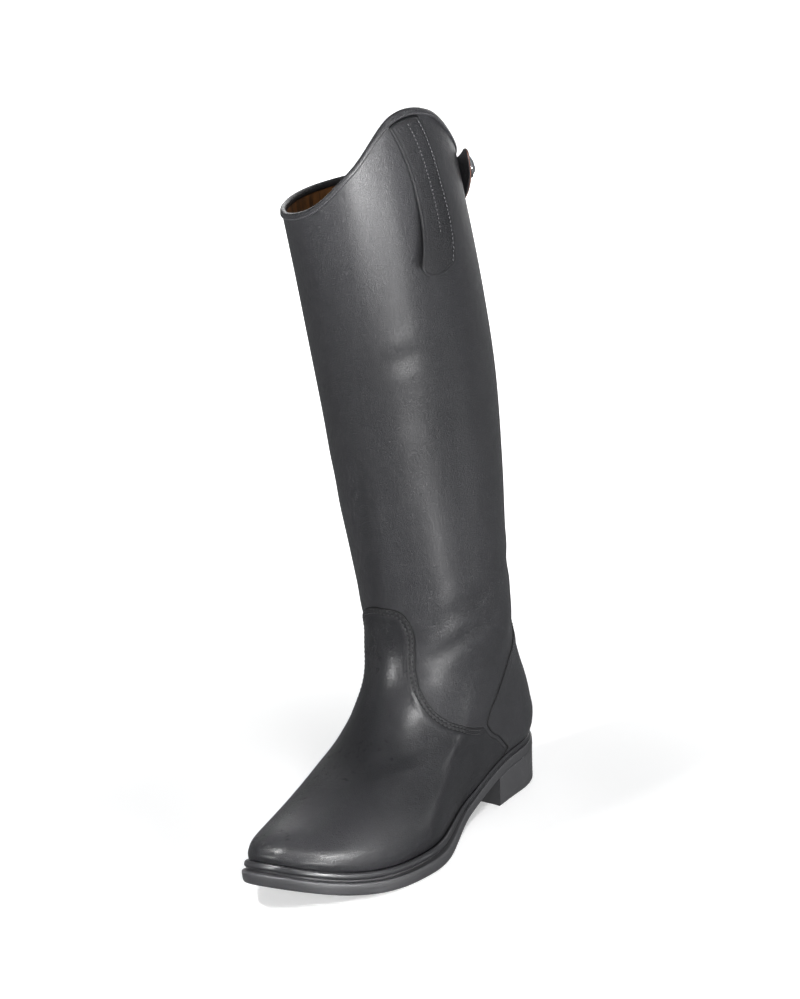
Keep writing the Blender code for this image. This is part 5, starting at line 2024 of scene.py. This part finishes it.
    def welt(self) -> bpy.types.Object:
        """Welt: a plate with a rounded bead for an edge.

        Returns:
            The welt.
        """
        rings = self.rings(WELT_PROFILE, self.welt_top, self.welt_bottom)
        # Painted highlight: a bright line along the upper part of the bead.
        rim = bell(np.array(WELT_PROFILE)[:, 1], -0.2, 0.3)
        return self.layer("welt_bead", "welt", (rings, self.lid(rings[0], 3), self.lid(rings[-1], 3)), self.looks.welt,
                          Slot.RUBBER, 60.0, rim)

    def outsole(self) -> bpy.types.Object:
        """Outsole: a grooved and ledged edge, and a tread of shallow grooves under the forefoot.

        Returns:
            The outsole.
        """
        rings = self.rings(SOLE_PROFILE, self.sole_top, self.bottom)
        low = self.lid(rings[0], self.across)
        low[..., 2] += self.tread.heights(low)
        # Painted highlight: a bright line along the ledge's top edge.
        rim = bell(np.arange(len(SOLE_PROFILE)), 6.5, 1.2)
        return self.layer("outsole_edge", "outsole", (rings, low, self.lid(rings[-1], 3)), self.looks.sole, Slot.RUBBER,
                          38.0, rim)

    def heel(self) -> bpy.types.Object:
        """Heel: rings of the heel's plan from floor to sole, ribbed across the back, hollow at the breast.

        The ribs are a squared-off wave of the height that fades out towards the sides.

        Returns:
            The heel.
        """
        start = math.radians(self.breast_angle)
        theta = np.linspace(start, 2.0 * math.pi - start, self.heel_columns)
        fade = smooth(self.rib_side, self.rib_full, np.degrees(math.pi - np.abs(theta - math.pi)))
        share = np.concatenate([[0.0, 0.015, 0.05], np.linspace(0.08, 0.95, 97), [0.975, 1.0]])[:, None]
        phase = np.clip((share - self.rib_from) / (self.rib_to - self.rib_from), 0.0, 1.0)
        wave = 0.5 - 0.5 * np.cos(2.0 * math.pi * self.ribs * phase)
        lip = 0.7 * smooth(0.05, 0.0, share) + 0.15 * smooth(0.95, 1.0, share)
        off = self.heel_reach - self.heel_taper * (1.0 - share) - self.rib_depth * smooth(0.25, 0.85, wave) * fade - lip
        side = FORM.plan(theta + 0.0 * off, off)
        q = np.linspace(0.0, 1.0, self.heel_across + 1)[1:-1, None]
        front = side[:, -1:] + (side[:, :1] - side[:, -1:]) * q
        front[..., 1] += self.breast_hollow * (1.0 - (2.0 * q[:, 0] - 1.0) ** 2)
        plan = np.concatenate([side, front], 1)
        top = self.bottom(plan[..., 1]) - self.heel_gap
        rings = np.concatenate([plan, (top * share)[..., None]], -1)
        low, high = self.heel_lid(rings[0]), self.heel_lid(rings[-1])
        low[..., 2] += self.heel_tread.heights(low)
        # Painted highlight along the heel's top edge, under the sole.
        return self.layer("heel_block", "heel", (rings, low, high), self.looks.heel, Slot.RUBBER, 40.0,
                          smooth(0.93, 1.0, share[:, 0]))

    def heel_lid(self, ring: Array) -> Array:
        """Grid over a heel ring: lines across at the same angle, closed by the breast's own line.

        Args:
            ring: the sides from the outer breast corner round the back, then the breast.

        Returns:
            Rows from the breast to the back.
        """
        count = np.arange((self.heel_columns + 1) // 2)
        outer, inner = ring[count], ring[self.heel_columns - 1 - count]
        s = np.linspace(0.0, 1.0, self.heel_across)[None, :, None]
        rows = inner[:, None] + (outer - inner)[:, None] * s
        breast = np.concatenate([ring[self.heel_columns - 1:], ring[:1]])
        number = np.arange(len(breast))
        bow = read_along(np.linspace(0.0, len(breast) - 1.0, self.heel_across), number, breast)
        fade = np.clip(1.0 - count / self.breast_rows, 0.0, 1.0)[:, None, None]
        return rows + (bow - rows[0]) * fade


MIDDLE = (-0.0045, 0.0350, 0.235)


@dataclass(frozen=True)
class SoftLight:
    """A soft lamp, placed by direction and distance from the place that it is aimed at."""

    name: str
    azimuth: float
    elevation: float
    distance: float
    size: tuple[float, float]
    power: float
    aim: tuple[float, float, float] = MIDDLE
    spread: float = 180.0

    def build(self) -> None:
        """Hangs the lamp and turns it to its aim."""
        lamp = bpy.data.lights.new(self.name, "AREA")
        lamp.shape = "RECTANGLE"
        lamp.size, lamp.size_y = self.size
        lamp.energy = self.power
        lamp.spread = math.radians(self.spread)
        item = bpy.data.objects.new(self.name, lamp)
        back = bearing(self.azimuth, self.elevation)
        item.location = Vector(self.aim) + back * self.distance
        item.rotation_euler = back.to_track_quat("Z", "Y").to_euler()
        item.visible_camera = False
        bpy.context.scene.collection.objects.link(item)


@dataclass
class Studio:
    """Floor, lamps and the camera at the photograph's angle."""

    azimuth: float = 34.574
    elevation: float = 16.058
    lean: float = 5.819
    distance: float = 2.229
    focal_px: float = 3270.0
    frame_px: float = 999.0
    sensor: float = 36.0
    air: Colour = (0.96, 0.98, 1.0)
    air_strength: float = 0.20
    floor_rings: int = 40
    floor_spokes: int = 96
    floor_reach: float = 14.0
    floor_flat: float = 7.0
    floor_rise: float = 0.12
    lamps: tuple[SoftLight, ...] = (
        SoftLight("key_lamp", 55.0, 44.0, 2.2, (0.7, 0.7), 11.0),
        SoftLight("band_lamp", 60.0, -9.0, 1.0, (0.5, 0.14), 9.5),
        SoftLight("low_lamp", 34.0, -24.0, 0.5, (0.34, 0.10), 0.46, (0.020, -0.02, 0.500), 38.0),
        SoftLight("calf_lamp", 71.0, -28.0, 0.36, (0.10, 0.05), 0.03, (0.035, 0.035, 0.215), 50.0),
        SoftLight("patch_lamp", 55.0, 46.0, 0.5, (0.10, 0.08), 0.06, (0.036, -0.018, 0.092), 30.0),
        SoftLight("toe_lamp", 88.0, 23.0, 0.4, (0.10, 0.10), 0.040, (0.020, -0.122, 0.037), 12.0),
        SoftLight("tip_lamp", -40.0, 63.0, 0.45, (0.10, 0.10), 0.046, (-0.012, -0.138, 0.045), 11.0),
        SoftLight("heel_lamp", 118.0, -3.0, 0.7, (0.2, 0.1), 0.035, (0.03, 0.09, 0.09), 45.0),
        SoftLight("left_lamp", -25.0, 14.0, 1.5, (0.16, 0.4), 0.5, (0.0, 0.0, 0.12), 30.0),
        SoftLight("back_lamp", 200.0, 14.0, 2.4, (2.4, 1.6), 24.0),
    )

    def build(self) -> None:
        """Sets up the floor, the lamps, the pale surroundings and the camera."""
        self.floor()
        for lamp in self.lamps:
            lamp.build()
        world = bpy.data.worlds.new("studio_air")
        world.use_nodes = True
        ground = world.node_tree.nodes["Background"]
        ground.inputs["Color"].default_value = (*self.air, 1.0)
        ground.inputs["Strength"].default_value = self.air_strength
        bpy.context.scene.world = world
        bpy.context.scene.view_settings.view_transform = "Standard"
        self.camera()

    def floor(self) -> None:
        """Large pale floor, a shallow bowl far from the boot."""
        r = np.linspace(0.0, 1.0, self.floor_rings)[:, None] ** 2 * self.floor_reach + 0.01
        turn = around(self.floor_spokes)
        z = self.floor_rise * np.clip(r - self.floor_flat, 0.0, None) ** 2 + 0.0 * turn
        points = np.stack([r * np.cos(turn), r * np.sin(turn), z], -1).reshape(-1, 3)
        mesh = bpy.data.meshes.new("studio_floor")
        quads = grid_quads(self.floor_rings, self.floor_spokes, wrap=True).tolist()
        mesh.from_pydata(points.tolist(), [], quads + [list(range(self.floor_spokes))[::-1]])
        mesh.materials.append(Plaster("floor_plaster").make())
        mesh.polygons.foreach_set("use_smooth", np.ones(len(mesh.polygons), bool))
        item = bpy.data.objects.new("studio_floor", mesh)
        item.visible_glossy = False
        bpy.context.scene.collection.objects.link(item)

    def camera(self) -> None:
        """Camera on the photograph's line of sight, leaning as the photograph does."""
        a, w = math.radians(self.azimuth), math.radians(self.lean)
        back = bearing(self.azimuth, self.elevation)
        right = Vector((math.cos(a), math.sin(a), 0.0))
        up = back.cross(right)
        leant_right = right * math.cos(w) - up * math.sin(w)
        leant_up = right * math.sin(w) + up * math.cos(w)
        eye = bpy.data.cameras.new("camera")
        eye.sensor_width = self.sensor
        eye.lens = self.focal_px / self.frame_px * self.sensor
        item = bpy.data.objects.new("camera", eye)
        turned = Matrix((leant_right, leant_up, back)).transposed().to_4x4()
        item.matrix_world = Matrix.Translation(Vector(MIDDLE) + back * self.distance) @ turned
        bpy.context.scene.collection.objects.link(item)
        bpy.context.scene.camera = item


def main() -> None:
    """Builds the boot's pieces in order, then the studio."""
    logging.basicConfig(level=logging.INFO, format="%(name)s: %(message)s")
    looks = Finishes()
    builders = (Upper(looks), Vamp(looks), Quarter(looks, Side.OUTER, "heel_quarter_lateral"),
                Quarter(looks, Side.INNER, "heel_quarter_medial"), Counter(looks),
                Facing(looks, Side.OUTER, "zip_facing_lateral"), Facing(looks, Side.INNER, "zip_facing_medial"),
                Binding(looks), Strap(looks), Tab(looks), Zip(looks), Sole(looks))
    made = [piece for builder in builders for piece in builder.build()]
    Studio().build()
    LOG.info("%d pieces", len(made))


if __name__ == "__main__":
    main()
